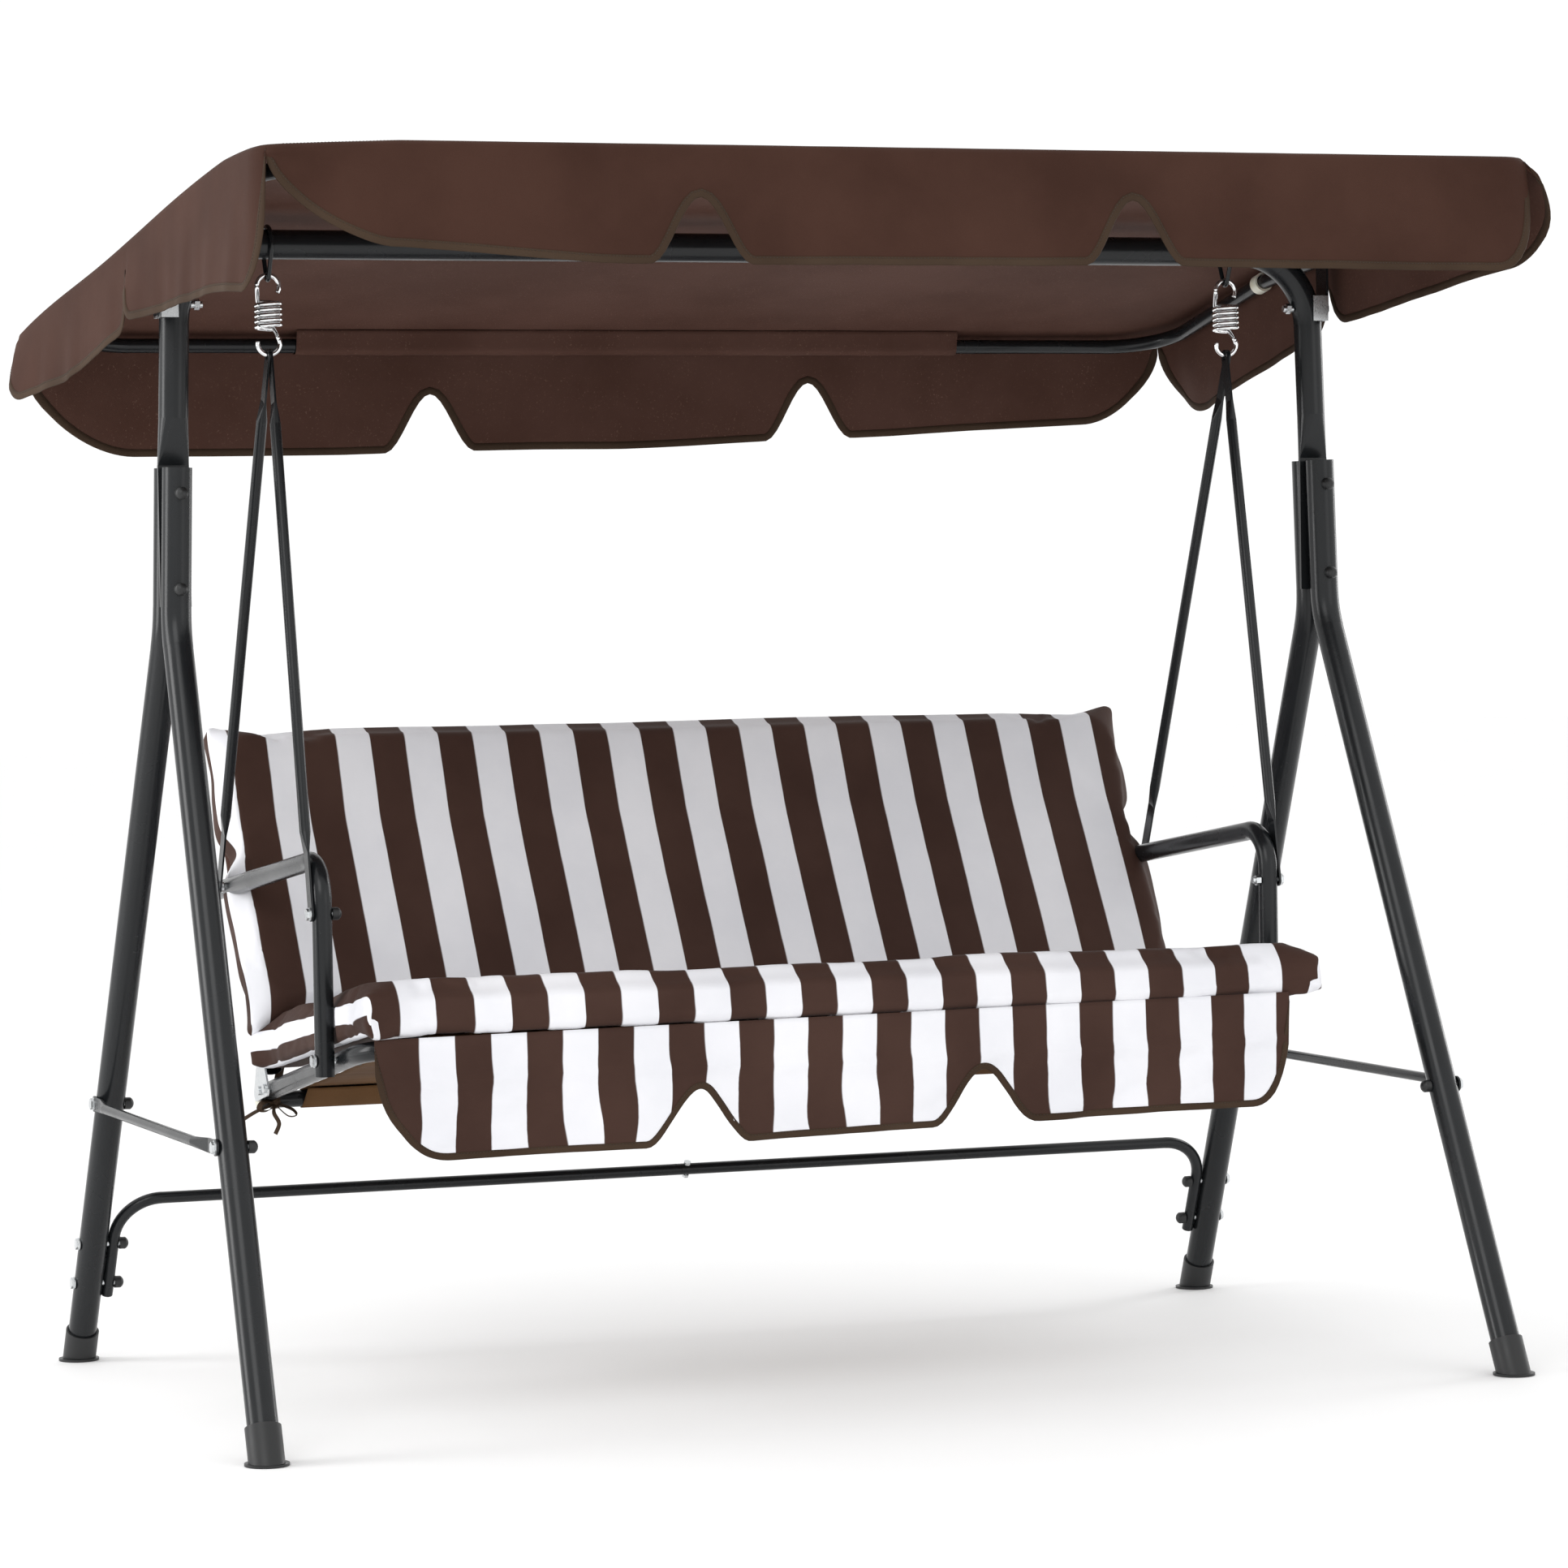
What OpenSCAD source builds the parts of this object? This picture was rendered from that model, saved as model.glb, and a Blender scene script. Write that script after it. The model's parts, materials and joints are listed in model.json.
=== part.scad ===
// Garden swing bench with a tilting canopy.
// X runs along the bench, Y from the front to the back, Z up.
// The origin is on the floor, in the middle of the four feet.

/* [Stand] */
// Distance between the left and right feet
foot_span = 1650; // [1600:10:1700]
// Distance between the front and rear feet
foot_depth = 980; // [940:10:1020]
// Diameter of the leg and beam tube
leg_d = 38; // [36:1:38]
// Wall of the leg and beam tube
leg_wall = 1.2; // [1:0.1:2]
// Height of the top ends of the legs
leg_top = 1187; // [1170:1:1200]
// Height at which the legs bend to the vertical
leg_knee = 985; // [960:1:990]
// Height of the top beam's axis
beam_z = 1468; // [1466:1:1470]
// Bend radius at the ends of the top beam
beam_bend_r = 100; // [90:5:105]

/* [Braces] */
// Height of the side braces
brace_z = 360; // [330:5:400]
// Diameter of the side braces
brace_d = 13; // [11:1:14]
// Diameter of the tie bar between the rear legs
tie_d = 16; // [14:1:18]
// Height of the tie bar
tie_z = 225; // [215:5:240]

/* [Seat] */
// Distance from the middle to the armrests
arm_x = 650; // [650:1:651]
// Diameter of the armrest and seat tubes
seat_d = 25; // [24:0.5:25]
// Height of the seat rails above the floor at the middle
seat_z = 417; // [410:1:425]
// Fall of the seat rails towards the back, in degrees
seat_fall = 10.6; // [10:0.1:11]
// Lean of the backrest from the vertical, in degrees
back_lean = 32; // [31:0.5:33]
// Thickness of the cushions
cushion_t = 53; // [45:1:56]
// Half the width of the seat cushion
cushion_half = 636; // [600:1:636]
// Half the width of the back cushion
back_cushion_half = 656; // [620:1:656]

/* [Hangers] */
// Diameter of the hanger tubes
hanger_d = 14; // [12:1:15]
// Wire of the springs
wire_d = 6; // [5:0.5:6]
// Mean radius of the spring coils
coil_r = 15.5; // [14:0.5:16]

/* [Canopy] */
// Distance from the middle to the canopy's side rails
rail_x = 810; // [808:1:812]
// Diameter of the canopy tubes
rail_d = 20; // [18:1:20]
// Half the width of the canopy cloth
roof_half_w = 825; // [825:1:828]
// Half the depth of the canopy cloth
roof_half_d = 560; // [558:1:562]
// Height of the canopy's front edge
roof_front_z = 1536; // [1534:1:1538]
// Height of the canopy's rear edge
roof_rear_z = 1371; // [1369:1:1372]
// Drop of the valances
valance_drop = 145; // [120:5:150]

/* [Hidden] */
$fn = 48;

FRAME_BLACK = "#1c1e20";
CAP_BLACK = "#101112";
ZINC = "#c8ccd0";
CHROME = "#dfe3e6";
CREAM = "#efe9d8";
CLOTH_BROWN = "#50372f";
CLOTH_WHITE = "#e4e4ea";

lap = 1;                        // overlap of the straights with the bends of a tube
hair = 0.3;                     // the bends are this much thicker than the straights
far = 4000;

// Stand
lean = atan(0.027);             // each side frame leans inward by this angle
blade_t = 5;                    // flattened lower end of the corner tubes
blade_w = 40;
blade_end_z = 1012;
leg_off = (leg_d + blade_t) / 2 + 0.2;
leg_bend_r = 120;
leg_path = [[-foot_depth / 2, 0], [-leg_off, leg_knee], [-leg_off, leg_top]];
leg_slant = atan((foot_depth / 2 - leg_off) / leg_knee);
clamp_zs = [1154, 1034];
foot_base_t = 3;
foot_flange_d = 54;
foot_sleeve_d = 44;
foot_sleeve_l = 47;
fit_gap = 0.3;

// Fasteners
bolt_d = 8;
hole_d = bolt_d + 0.4;
head_d = 15;
head_t = 5;
cap_d = 16;
brace_y = foot_depth / 2 - brace_z * tan(leg_slant);
brace_blade_t = 2.6;

// Tie bar, in the plane of the rear legs; w runs up the legs from the floor
tie_w = tie_z / cos(leg_slant);
tie_end_w = 102;
tie_bolt_ws = [183, 122];
tie_bend_r = 60;
tie_off = leg_d / 2 + tie_d / 2 + fit_gap;
function leg_x(w) = foot_span / 2 - tan(lean) * w * cos(leg_slant);

// Hanging gear
gear_x = arm_x + seat_d / 2 + 3.3;
loop_rod = 6;
loop_top_r = leg_d / 2 + fit_gap + loop_rod / 2;
loop_low_r = 6.5;
loop_low_z = 1430;
hook_r = 14.5;
hook_top_z = loop_low_z - 0.3 - hook_r;
coil_top_z = 1392.5;
coil_turns = 6;
coil_pitch = wire_d - 0.7;
hook_low_z = 1343.6;
eye_z = 1327.4;                 // axis on which the hangers turn in the lower hooks
eye_d = 10.4;

// Armrests
arm_front_y = -144;
arm_low_z = 424;
arm_slope = 7.1;
arm_at_front_z = 697;
arm_rear_y = 366;
arm_bend_r = 50;
arm_wall = 1.2;
function arm_z(y) = arm_at_front_z - (y - arm_front_y) * tan(arm_slope);
hanger_front = [arm_front_y, 627];
hanger_rear = [298, arm_z(298)];
hanger_blade_t = 2.6;
hanger_front_x = gear_x - 1.7;
hanger_rear_x = gear_x + 1.7;

// Seat and backrest frames
rail_in_x = arm_x - seat_d - 0.5;
function rail_z(y) = seat_z - y * tan(seat_fall);
seat_front_y = -262;
seat_rear_y = 226;
seat_bend_r = 70;
cross_d = 22;
cross_y = 241;
cross_z = 362;
back_ref = [360, 656];          // a point of the backrest tube's axis
function back_y(z) = back_ref.x + (z - back_ref.y) * tan(back_lean);
back_low_z = 404;
back_top_z = 812;
back_bend_r = 60;
back_bolt_z = 420;
arm_back_z = 634;
plate_t = 2.5;
plate_x = rail_in_x + seat_d / 2 + 0.2;
rail_bolt_ys = [186, 212];

// Soft goods
cloth_t = 1.6;
sling_half = rail_in_x - seat_bend_r - 2.5;
seat_cushion_front_y = -303;
seat_cushion_rear_y = 192;
seat_lift = 15.5;               // underside of the seat cushion above the rail axis
function seat_top(y) = rail_z(y) + seat_lift + cushion_t / cos(seat_fall);
back_gap = seat_d / 2 + 2;      // rear face of the back cushion in front of the tube axis
skirt_half = 612;
skirt_drop = 142;

// Canopy
pivot_z = 1392;
ring_y = 190;
rail_mid_z = 1460;
rail_joint_z = 1438;
front_bar_y = -548;
rear_bar_y = 535;
rear_bar_z = 1366;
front_fall = atan((rail_mid_z - rail_joint_z) / ring_y);
rear_fall = atan((rail_joint_z - rear_bar_z) / (rear_bar_y - ring_y));
rail_bend_r = 90;
rail_wall = 1;
bar_half = 560;
bracket_x = 807;                // inner face of the bracket's web, just outside the corner tube
bracket_t = 2;
pivot_plate_x = bracket_x + bracket_t + 0.3;
pivot_plate_t = 3;
roof_rise = 43;
roof_segments = 24;

// ---- helpers ----

function unit(v) = v / norm(v);
function heading(a, b) = atan2(b.y - a.y, b.x - a.x);
function turn(a, b, c) =
    let (u = unit(b - a), v = unit(c - b)) atan2(u.x * v.y - u.y * v.x, u * v);
function extend(pts, e) = [
    for (i = [0:len(pts) - 1])
        i == 0 ? pts[0] - unit(pts[1] - pts[0]) * e :
        i == len(pts) - 1 ? pts[i] + unit(pts[i] - pts[i - 1]) * e : pts[i]
];

// Lays the XY plane into the YZ plane: X becomes Y and Y becomes Z
module in_yz() rotate([90, 0, 90]) children();
// Lays the XY plane into the XZ plane
module in_xz() rotate([90, 0, 0]) children();
// The left side is the mirror image of the right side
module to_left() mirror([1, 0, 0]) children();
module to_rear() mirror([0, 1, 0]) children();
module both_sides() {
    children();
    to_left() children();
}
// Puts a shape drawn about the middle plane onto the right leaning side frame
module on_side() translate([foot_span / 2, 0, 0]) rotate([0, -lean, 0]) children();
module above(z) translate([-far / 2, -far / 2, z]) cube(far);
module x_cylinder(d, x0, x1) translate([x0, 0, 0]) rotate([0, 90, 0]) cylinder(h = x1 - x0, d = d);
module y_cylinder(d, y0, y1) translate([0, y0, 0]) rotate([-90, 0, 0]) cylinder(h = y1 - y0, d = d);

// Straight round bar between two points of the XY plane
module rod(a, b, d)
    translate([a.x, a.y, 0]) rotate([0, 0, heading(a, b)]) x_cylinder(d, 0, norm(b - a));

// Round bar bent along points of the XY plane, with one bend radius.
// The straights are a little thinner than the bends and reach a little way into them.
module bent_rod(pts, r, d) {
    last = len(pts) - 1;
    for (i = [0:last - 1]) {
        u = unit(pts[i + 1] - pts[i]);
        s = i == 0 ? 0 : r * tan(abs(turn(pts[i - 1], pts[i], pts[i + 1])) / 2) - lap;
        e = i == last - 1 ? 0 : r * tan(abs(turn(pts[i], pts[i + 1], pts[i + 2])) / 2) - lap;
        rod(pts[i] + u * s, pts[i + 1] - u * e, d - hair);
    }
    for (i = [1:last - 1]) {
        angle = turn(pts[i - 1], pts[i], pts[i + 1]);
        u = unit(pts[i] - pts[i - 1]);
        start = pts[i] - u * r * tan(abs(angle) / 2);
        centre = start + sign(angle) * r * [-u.y, u.x];
        from = heading(centre, start);
        translate([centre.x, centre.y, 0])
            rotate([0, 0, angle > 0 ? from : from + angle])
                rotate_extrude(angle = abs(angle)) translate([r, 0]) circle(d = d);
    }
}
module bent_tube(pts, r, d, wall) difference() {
    bent_rod(pts, r, d);
    bent_rod(extend(pts, 1), r, d - 2 * wall);
}

// Bolt along X: its head outside at x1, its plain end at x0
module x_bolt(x0, x1) {
    x_cylinder(bolt_d, x0, x1 + 0.5);
    x_cylinder(head_d + 2, x1, x1 + 1.4);
    translate([x1 + 1.4, 0, 0]) rotate([0, 90, 0]) cylinder(h = head_t - 1.4, d = head_d, $fn = 6);
}
nut_t = 6.5;
module x_nut(x0) translate([x0, 0, 0]) rotate([0, 90, 0]) cylinder(h = nut_t, d = 14, $fn = 6);
// Round cap pushed over the bolt end at x0; it bulges towards -X
module x_cap(x0) difference() {
    intersection() {
        x_cylinder(cap_d, x0 - 14, x0);
        translate([x0 - 3.5, 0, 0]) sphere(d = cap_d + 2);
    }
    x_cylinder(bolt_d + 0.1, x0 - 6, x0 + 1);
}
cap_reach = 5.5;                // length of bolt inside its cap

// Lower edge of a hanging cloth edge: lobes between notches, round ends
function bump(d, w) = exp(-pow(abs(d) / w, 3));
function lobe_edge(x, half, drop, notches, rise, w) =
    -drop + rise * max([for (n = notches) bump(x - n, w)])
    + (drop - 25) * max(bump(x - half, 34), bump(x + half, 34));
module lobes(half, drop, notches, rise, w, step = 12) {
    count = ceil(2 * half / step);
    xs = [for (i = [0:count]) -half + 2 * half * i / count];
    polygon(concat(
        [[half, 0], [-half, 0]],
        [for (x = xs) [x, lobe_edge(x, half, drop, notches, rise, w)]]
    ));
}

// ---- stand ----

module leg_shape() difference() {
    in_yz() bent_tube(leg_path, leg_bend_r, leg_d, leg_wall);
    for (z = clamp_zs) translate([0, 0, z]) y_cylinder(hole_d, -60, 10);
    translate([0, -brace_y, brace_z]) x_cylinder(hole_d, -30, 30);
}
module tie_holes() for (w = tie_bolt_ws)
    translate([0, foot_depth / 2 - w * sin(leg_slant), w * cos(leg_slant)])
        x_cylinder(hole_d, -30, 30);
module leg_front_right() color(FRAME_BLACK) intersection() {
    on_side() leg_shape();
    above(foot_base_t + 0.1);
}
module leg_rear_right() color(FRAME_BLACK) intersection() {
    on_side() difference() {
        to_rear() leg_shape();
        tie_holes();
    }
    above(foot_base_t + 0.1);
}
module leg_front_left() to_left() leg_front_right();
module leg_rear_left() to_left() leg_rear_right();

module foot_front_right() color(CAP_BLACK) difference() {
    union() {
        translate([foot_span / 2, -foot_depth / 2, 0]) cylinder(d = foot_flange_d, h = foot_base_t);
        intersection() {
            on_side() in_yz() rod(leg_path[0] - 20 * unit(leg_path[1] - leg_path[0]),
                leg_path[0] + foot_sleeve_l * unit(leg_path[1] - leg_path[0]), foot_sleeve_d);
            above(1);
        }
    }
    intersection() {
        on_side() in_yz() rod(leg_path[0] - 20 * unit(leg_path[1] - leg_path[0]),
            leg_path[0] + 100 * unit(leg_path[1] - leg_path[0]), leg_d + 2 * fit_gap);
        above(foot_base_t);
    }
}
module foot_rear_right() to_rear() foot_front_right();
module foot_front_left() to_left() foot_front_right();
module foot_rear_left() to_left() foot_rear_right();

// Corner tube and half of the top beam, bent from one tube
function corner_x(z) = foot_span / 2 - tan(lean) * z;
blade_top_z = leg_top + 3;
taper_top_z = leg_top + 62;
insert_d = leg_d - 2 * leg_wall - hair - 0.1;
insert_l = 60;
module corner_taper(d, w, t) hull() {
    translate([corner_x(taper_top_z), 0, taper_top_z]) rotate([0, -lean, 0]) cylinder(h = 1, d = d, $fn = 32);
    translate([corner_x(blade_top_z) - w / 2, -t / 2, blade_top_z - 0.5]) cube([w, t, 0.5]);
}
module corner_blade() translate([corner_x(leg_top) - blade_w / 2, -blade_t / 2, blade_end_z])
    cube([blade_w, blade_t, blade_top_z - blade_end_z]);
module top_beam_shape(end_x) {
    path = [[corner_x(taper_top_z), taper_top_z + 0.2], [corner_x(beam_z), beam_z], [end_x, beam_z]];
    difference() {
        union() {
            in_xz() bent_tube(path, beam_bend_r, leg_d, leg_wall);
            difference() {
                corner_taper(leg_d - 0.6, blade_w - 0.2, blade_t - 0.2);
                corner_taper(leg_d - 3, blade_w - 4, 1);
            }
            corner_blade();
        }
        for (z = clamp_zs) translate([corner_x(z), 0, z]) y_cylinder(hole_d, -20, 20);
        translate([0, 0, pivot_z]) x_cylinder(hole_d, 700, 900);
    }
}
module top_beam_right() color(FRAME_BLACK) top_beam_shape(0.1);
module top_beam_left() color(FRAME_BLACK) {
    to_left() top_beam_shape(0.1);
    translate([0, 0, beam_z]) difference() {
        union() {
            x_cylinder(insert_d, -12, insert_l);
            x_cylinder(leg_d - leg_wall, -24, -12);
        }
        x_cylinder(insert_d - 2 * leg_wall, -25, insert_l + 1);
    }
}

// Side brace with flattened ends, outside the legs
brace_x = leg_d / 2 + fit_gap + brace_blade_t;
module brace_end() {
    translate([brace_x - brace_blade_t, 0, 0]) difference() {
        union() {
            x_cylinder(21, 0, brace_blade_t);
            translate([0, 0, -9]) cube([brace_blade_t, 34, 18]);
        }
        x_cylinder(hole_d, -1, brace_blade_t + 1);
    }
    hull() {
        translate([brace_x - brace_blade_t, 33.5, -9]) cube([brace_blade_t, 0.5, 18]);
        translate([brace_x - brace_blade_t + brace_d / 2, 84, 0]) y_cylinder(brace_d, 0, 0.5, $fn = 32);
    }
}
module brace_right() color(FRAME_BLACK) on_side() translate([0, 0, brace_z]) {
    translate([0, -brace_y, 0]) brace_end();
    to_rear() translate([0, -brace_y, 0]) brace_end();
    translate([brace_x - brace_blade_t + brace_d / 2, 0, 0]) difference() {
        y_cylinder(brace_d, -brace_y + 84, brace_y - 84);
        y_cylinder(brace_d - 2, -brace_y + 90, brace_y - 90);
    }
}
module brace_left() to_left() brace_right();

// Tie bar in two halves, on the inner side of the rear legs
module in_tie_plane() translate([0, foot_depth / 2, 0]) rotate([90 + leg_slant, 0, 0]) children();
module tie_half(end_x) difference() {
    in_tie_plane() bent_tube([[leg_x(tie_end_w) - tie_off, tie_end_w],
        [leg_x(tie_w) - tie_off, tie_w], [end_x, tie_w]], tie_bend_r, tie_d, 1);
    on_side() for (w = tie_bolt_ws)
        translate([0, foot_depth / 2 - w * sin(leg_slant), w * cos(leg_slant)])
            x_cylinder(hole_d, -60, 30);
    in_tie_plane() translate([tie_bolt_x, tie_w, 0]) y_cylinder(5.4, -20, 20);
}
tie_bolt_x = 9;
module tie_bar_right() color(FRAME_BLACK) tie_half(0.1);
module tie_bar_left() color(FRAME_BLACK) {
    to_left() tie_half(0.1);
    in_tie_plane() translate([0, tie_w, 0]) difference() {
        union() {
            x_cylinder(tie_d - 2.4, -8, 35);
            x_cylinder(tie_d - 1, -16, -8);
        }
        x_cylinder(tie_d - 4.3, -17, 36);
        translate([tie_bolt_x, 0, 0]) y_cylinder(5.4, -20, 20);
    }
}
module tie_bar_bolt() color(ZINC) in_tie_plane() translate([tie_bolt_x, tie_w, 0]) {
    y_cylinder(5, -tie_d / 2 - 4, tie_d / 2 + 1);
    y_cylinder(10, tie_d / 2 + 0.1, tie_d / 2 + 3.6);
    translate([0, -tie_d / 2 - 4, 0]) rotate([-90, 0, 0]) cylinder(h = 3.8, d = 10, $fn = 6);
}

// Bolts that clamp the leg tops on the blade; heads at the back, caps in front
clamp_y = leg_off + leg_d / 2;
module at_clamps() both_sides() for (z = clamp_zs)
    translate([corner_x(z), 0, z]) rotate([0, 0, 90]) children();
module clamp_bolts() color(ZINC) at_clamps() x_bolt(-clamp_y - cap_reach, clamp_y + 0.1);
module clamp_caps() color(CAP_BLACK) at_clamps() x_cap(-clamp_y - 0.1);

// Bolts through the legs along X; heads outside, caps inside
module leg_bolts() color(ZINC) both_sides() on_side() {
    for (s = [-1, 1]) translate([0, s * brace_y, brace_z])
        x_bolt(-leg_d / 2 - cap_reach, brace_x + 0.1);
    for (w = tie_bolt_ws)
        translate([0, foot_depth / 2 - w * sin(leg_slant), w * cos(leg_slant)])
            x_bolt(-leg_d / 2 - tie_d - cap_reach - 0.5, leg_d / 2 + 0.1);
}
module leg_caps() color(CAP_BLACK) both_sides() on_side() {
    for (s = [-1, 1]) translate([0, s * brace_y, brace_z]) x_cap(-leg_d / 2 - 0.1);
    for (w = tie_bolt_ws)
        translate([0, foot_depth / 2 - w * sin(leg_slant), w * cos(leg_slant)])
            x_cap(-leg_d / 2 - tie_d - 0.5);
}

// Channel bracket on the corner tube, and the bolt the canopy tilts on
module canopy_bracket_right() color(ZINC) difference() {
    translate([bracket_x - 20, -leg_d / 2 - fit_gap - bracket_t, pivot_z - 17])
        cube([20 + bracket_t, leg_d + 2 * (fit_gap + bracket_t), 34]);
    translate([bracket_x - 21, -leg_d / 2 - fit_gap, pivot_z - 18]) cube([21, leg_d + 2 * fit_gap, 36]);
    translate([0, 0, pivot_z]) x_cylinder(hole_d, 700, 900);
}
module canopy_bracket_left() to_left() canopy_bracket_right();
// The tube already bends inwards here, so the nut sits a little way off its straight line
pivot_nut_x = corner_x(pivot_z) - leg_d / 2 - 13;
module pivot_bolts() color(ZINC) both_sides() translate([0, 0, pivot_z]) {
    x_bolt(pivot_nut_x - 4, pivot_plate_x + pivot_plate_t + 0.3);
    x_nut(pivot_nut_x);
}

// ---- hanging gear ----

loop_gap = beam_z - loop_low_z;
loop_tilt = asin((loop_top_r - loop_low_r) / loop_gap);
module loop_right() color(FRAME_BLACK) translate([gear_x, 0, 0]) in_yz() {
    side = [cos(loop_tilt), -sin(loop_tilt)];
    translate([0, beam_z]) rotate(-loop_tilt) rotate_extrude(angle = 180 + 2 * loop_tilt)
        translate([loop_top_r, 0]) circle(d = loop_rod);
    translate([0, loop_low_z]) rotate(180 + loop_tilt) rotate_extrude(angle = 180 - 2 * loop_tilt)
        translate([loop_low_r, 0]) circle(d = loop_rod);
    for (s = [-1, 1]) {
        ends = extend([[s * side.x * loop_top_r, beam_z + side.y * loop_top_r],
            [s * side.x * loop_low_r, loop_low_z + side.y * loop_low_r]], lap);
        rod(ends[0], ends[1], loop_rod - hair);
    }
}
module loop_left() to_left() loop_right();

// Close-wound spring with an open hook at each end
module hook(start, sweep) rotate(start) rotate_extrude(angle = sweep)
    translate([hook_r, 0]) circle(d = wire_d - 0.5);
module spring_shape() {
    coil_low_z = coil_top_z - (coil_turns - 1) * coil_pitch;
    for (i = [0:coil_turns - 1]) translate([0, 0, coil_top_z - i * coil_pitch])
        rotate_extrude() translate([coil_r, 0]) circle(d = wire_d);
    in_xz() {
        translate([0, hook_top_z]) hook(-30, 235);
        rod([hook_r * cos(205), hook_top_z + hook_r * sin(205)], [-coil_r, coil_top_z], wire_d - 1);
        translate([0, hook_low_z]) hook(150, 235);
        rod([hook_r * cos(25), hook_low_z + hook_r * sin(25)], [coil_r, coil_low_z], wire_d - 1);
    }
}
module spring_right() color(CHROME) translate([gear_x, 0, 0]) spring_shape();
module spring_left() color(CHROME) translate([-gear_x, 0, 0]) spring_shape();

// Hanger tube with flattened ends, from the armrest to the lower hook
hanger_w = 18;
top_flat = 62;
low_flat = 78;
flat_taper = 26;
module hanger_flat(length) {
    x_cylinder(hanger_w, -hanger_blade_t / 2, hanger_blade_t / 2);
    translate([-hanger_blade_t / 2, -hanger_w / 2, 0]) cube([hanger_blade_t, hanger_w, length]);
    hull() {
        translate([-hanger_blade_t / 2, -hanger_w / 2, length - 0.5]) cube([hanger_blade_t, hanger_w, 0.5]);
        translate([0, 0, length + flat_taper]) cylinder(h = 0.5, d = hanger_d, $fn = 32);
    }
}
module hanger(x, foot) {
    span = [foot.x, eye_z - foot.y];
    length = norm(span);
    translate([x, foot.x, foot.y]) rotate([atan2(foot.x, eye_z - foot.y), 0, 0]) difference() {
        union() {
            hanger_flat(low_flat);
            translate([0, 0, length]) mirror([0, 0, 1]) hanger_flat(top_flat);
            translate([0, 0, low_flat + flat_taper])
                cylinder(h = length - low_flat - top_flat - 2 * flat_taper, d = hanger_d);
        }
        translate([0, 0, low_flat + flat_taper + 2])
            cylinder(h = length - low_flat - top_flat - 2 * flat_taper - 4, d = hanger_d - 2);
        x_cylinder(hole_d, -5, 5);
        translate([0, 0, length]) x_cylinder(eye_d, -5, 5);
    }
}
module hanger_front_right() color(FRAME_BLACK) hanger(hanger_front_x, hanger_front);
module hanger_rear_right() color(FRAME_BLACK) hanger(hanger_rear_x, hanger_rear);
module hanger_front_left() to_left() hanger_front_right();
module hanger_rear_left() to_left() hanger_rear_right();

// ---- seat ----

arm_back_y = back_y(arm_back_z);
module armrest_right() color(FRAME_BLACK) difference() {
    translate([arm_x, 0, 0]) in_yz() bent_tube([[arm_front_y, arm_low_z],
        [arm_front_y, arm_at_front_z], [arm_rear_y, arm_z(arm_rear_y)]], arm_bend_r, seat_d, arm_wall);
    at_arm_bolts() x_cylinder(hole_d, 600, 700);
}
module armrest_left() to_left() armrest_right();
module at_arm_bolts() {
    translate([0, hanger_front.x, hanger_front.y]) children();
    translate([0, hanger_rear.x, hanger_rear.y]) children();
    translate([0, arm_front_y, rail_z(arm_front_y)]) children();
    translate([0, arm_back_y, arm_back_z]) children();
}
arm_out_x = arm_x + seat_d / 2;
arm_in_x = arm_x - seat_d / 2;
rail_inner_x = rail_in_x - seat_d / 2;
hanger_out_x = hanger_rear_x + hanger_blade_t / 2;
// The right front hanger bolt ends in a plain nut, all the other hanger bolts have caps
module front_hanger_bolt(reach) translate([0, hanger_front.x, hanger_front.y])
    x_bolt(arm_in_x - reach, hanger_front_x + hanger_blade_t / 2 + 0.1);
module armrest_bolts() color(ZINC) {
    to_left() front_hanger_bolt(cap_reach);
    front_hanger_bolt(nut_t + 4);
    translate([0, hanger_front.x, hanger_front.y]) x_nut(arm_in_x - nut_t - 0.1);
    both_sides() side_armrest_bolts();
}
module side_armrest_bolts() {
    translate([0, hanger_rear.x, hanger_rear.y]) {
        x_bolt(arm_in_x - 1, hanger_out_x + 0.1);
        difference() {
            x_cylinder(16, arm_out_x + 0.1, hanger_out_x - hanger_blade_t - 0.1);
            x_cylinder(bolt_d - 0.1, arm_out_x, hanger_out_x);
        }
    }
    translate([0, arm_front_y, rail_z(arm_front_y)]) x_bolt(rail_inner_x - cap_reach, arm_out_x + 0.1);
    translate([0, arm_back_y, arm_back_z]) x_bolt(rail_inner_x - 1, arm_out_x + 0.1);
}
module armrest_caps() color(CAP_BLACK) {
    to_left() translate([0, hanger_front.x, hanger_front.y]) x_cap(arm_in_x - 0.1);
    both_sides() translate([0, arm_front_y, rail_z(arm_front_y)]) x_cap(rail_inner_x - 0.1);
}

// Side rails and front cross tube, bent from one tube
module in_seat_plane() translate([0, 0, seat_z]) rotate([-seat_fall, 0, 0]) children();
function seat_u(y) = y / cos(seat_fall);
module seat_frame() color(FRAME_BLACK) difference() {
    in_seat_plane() bent_tube([[-rail_in_x, seat_u(seat_rear_y)], [-rail_in_x, seat_u(seat_front_y)],
        [rail_in_x, seat_u(seat_front_y)], [rail_in_x, seat_u(seat_rear_y)]], seat_bend_r, seat_d, arm_wall);
    both_sides() {
        translate([0, arm_front_y, rail_z(arm_front_y)]) x_cylinder(hole_d, 600, 700);
        for (y = rail_bolt_ys) translate([0, y, rail_z(y)]) x_cylinder(6.4, 600, 700);
    }
}
module seat_rear_tube() color(FRAME_BLACK) translate([0, cross_y, cross_z]) difference() {
    x_cylinder(cross_d, -rail_in_x - 10, rail_in_x + 10);
    x_cylinder(cross_d - 2.4, -rail_in_x - 11, rail_in_x + 11);
}
module seat_tube_plugs() color(CREAM) both_sides() translate([0, cross_y, cross_z]) {
    x_cylinder(cross_d - 2.6, rail_in_x - 6, rail_in_x + 10);
    x_cylinder(cross_d, rail_in_x + 10, rail_in_x + 12);
}

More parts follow.
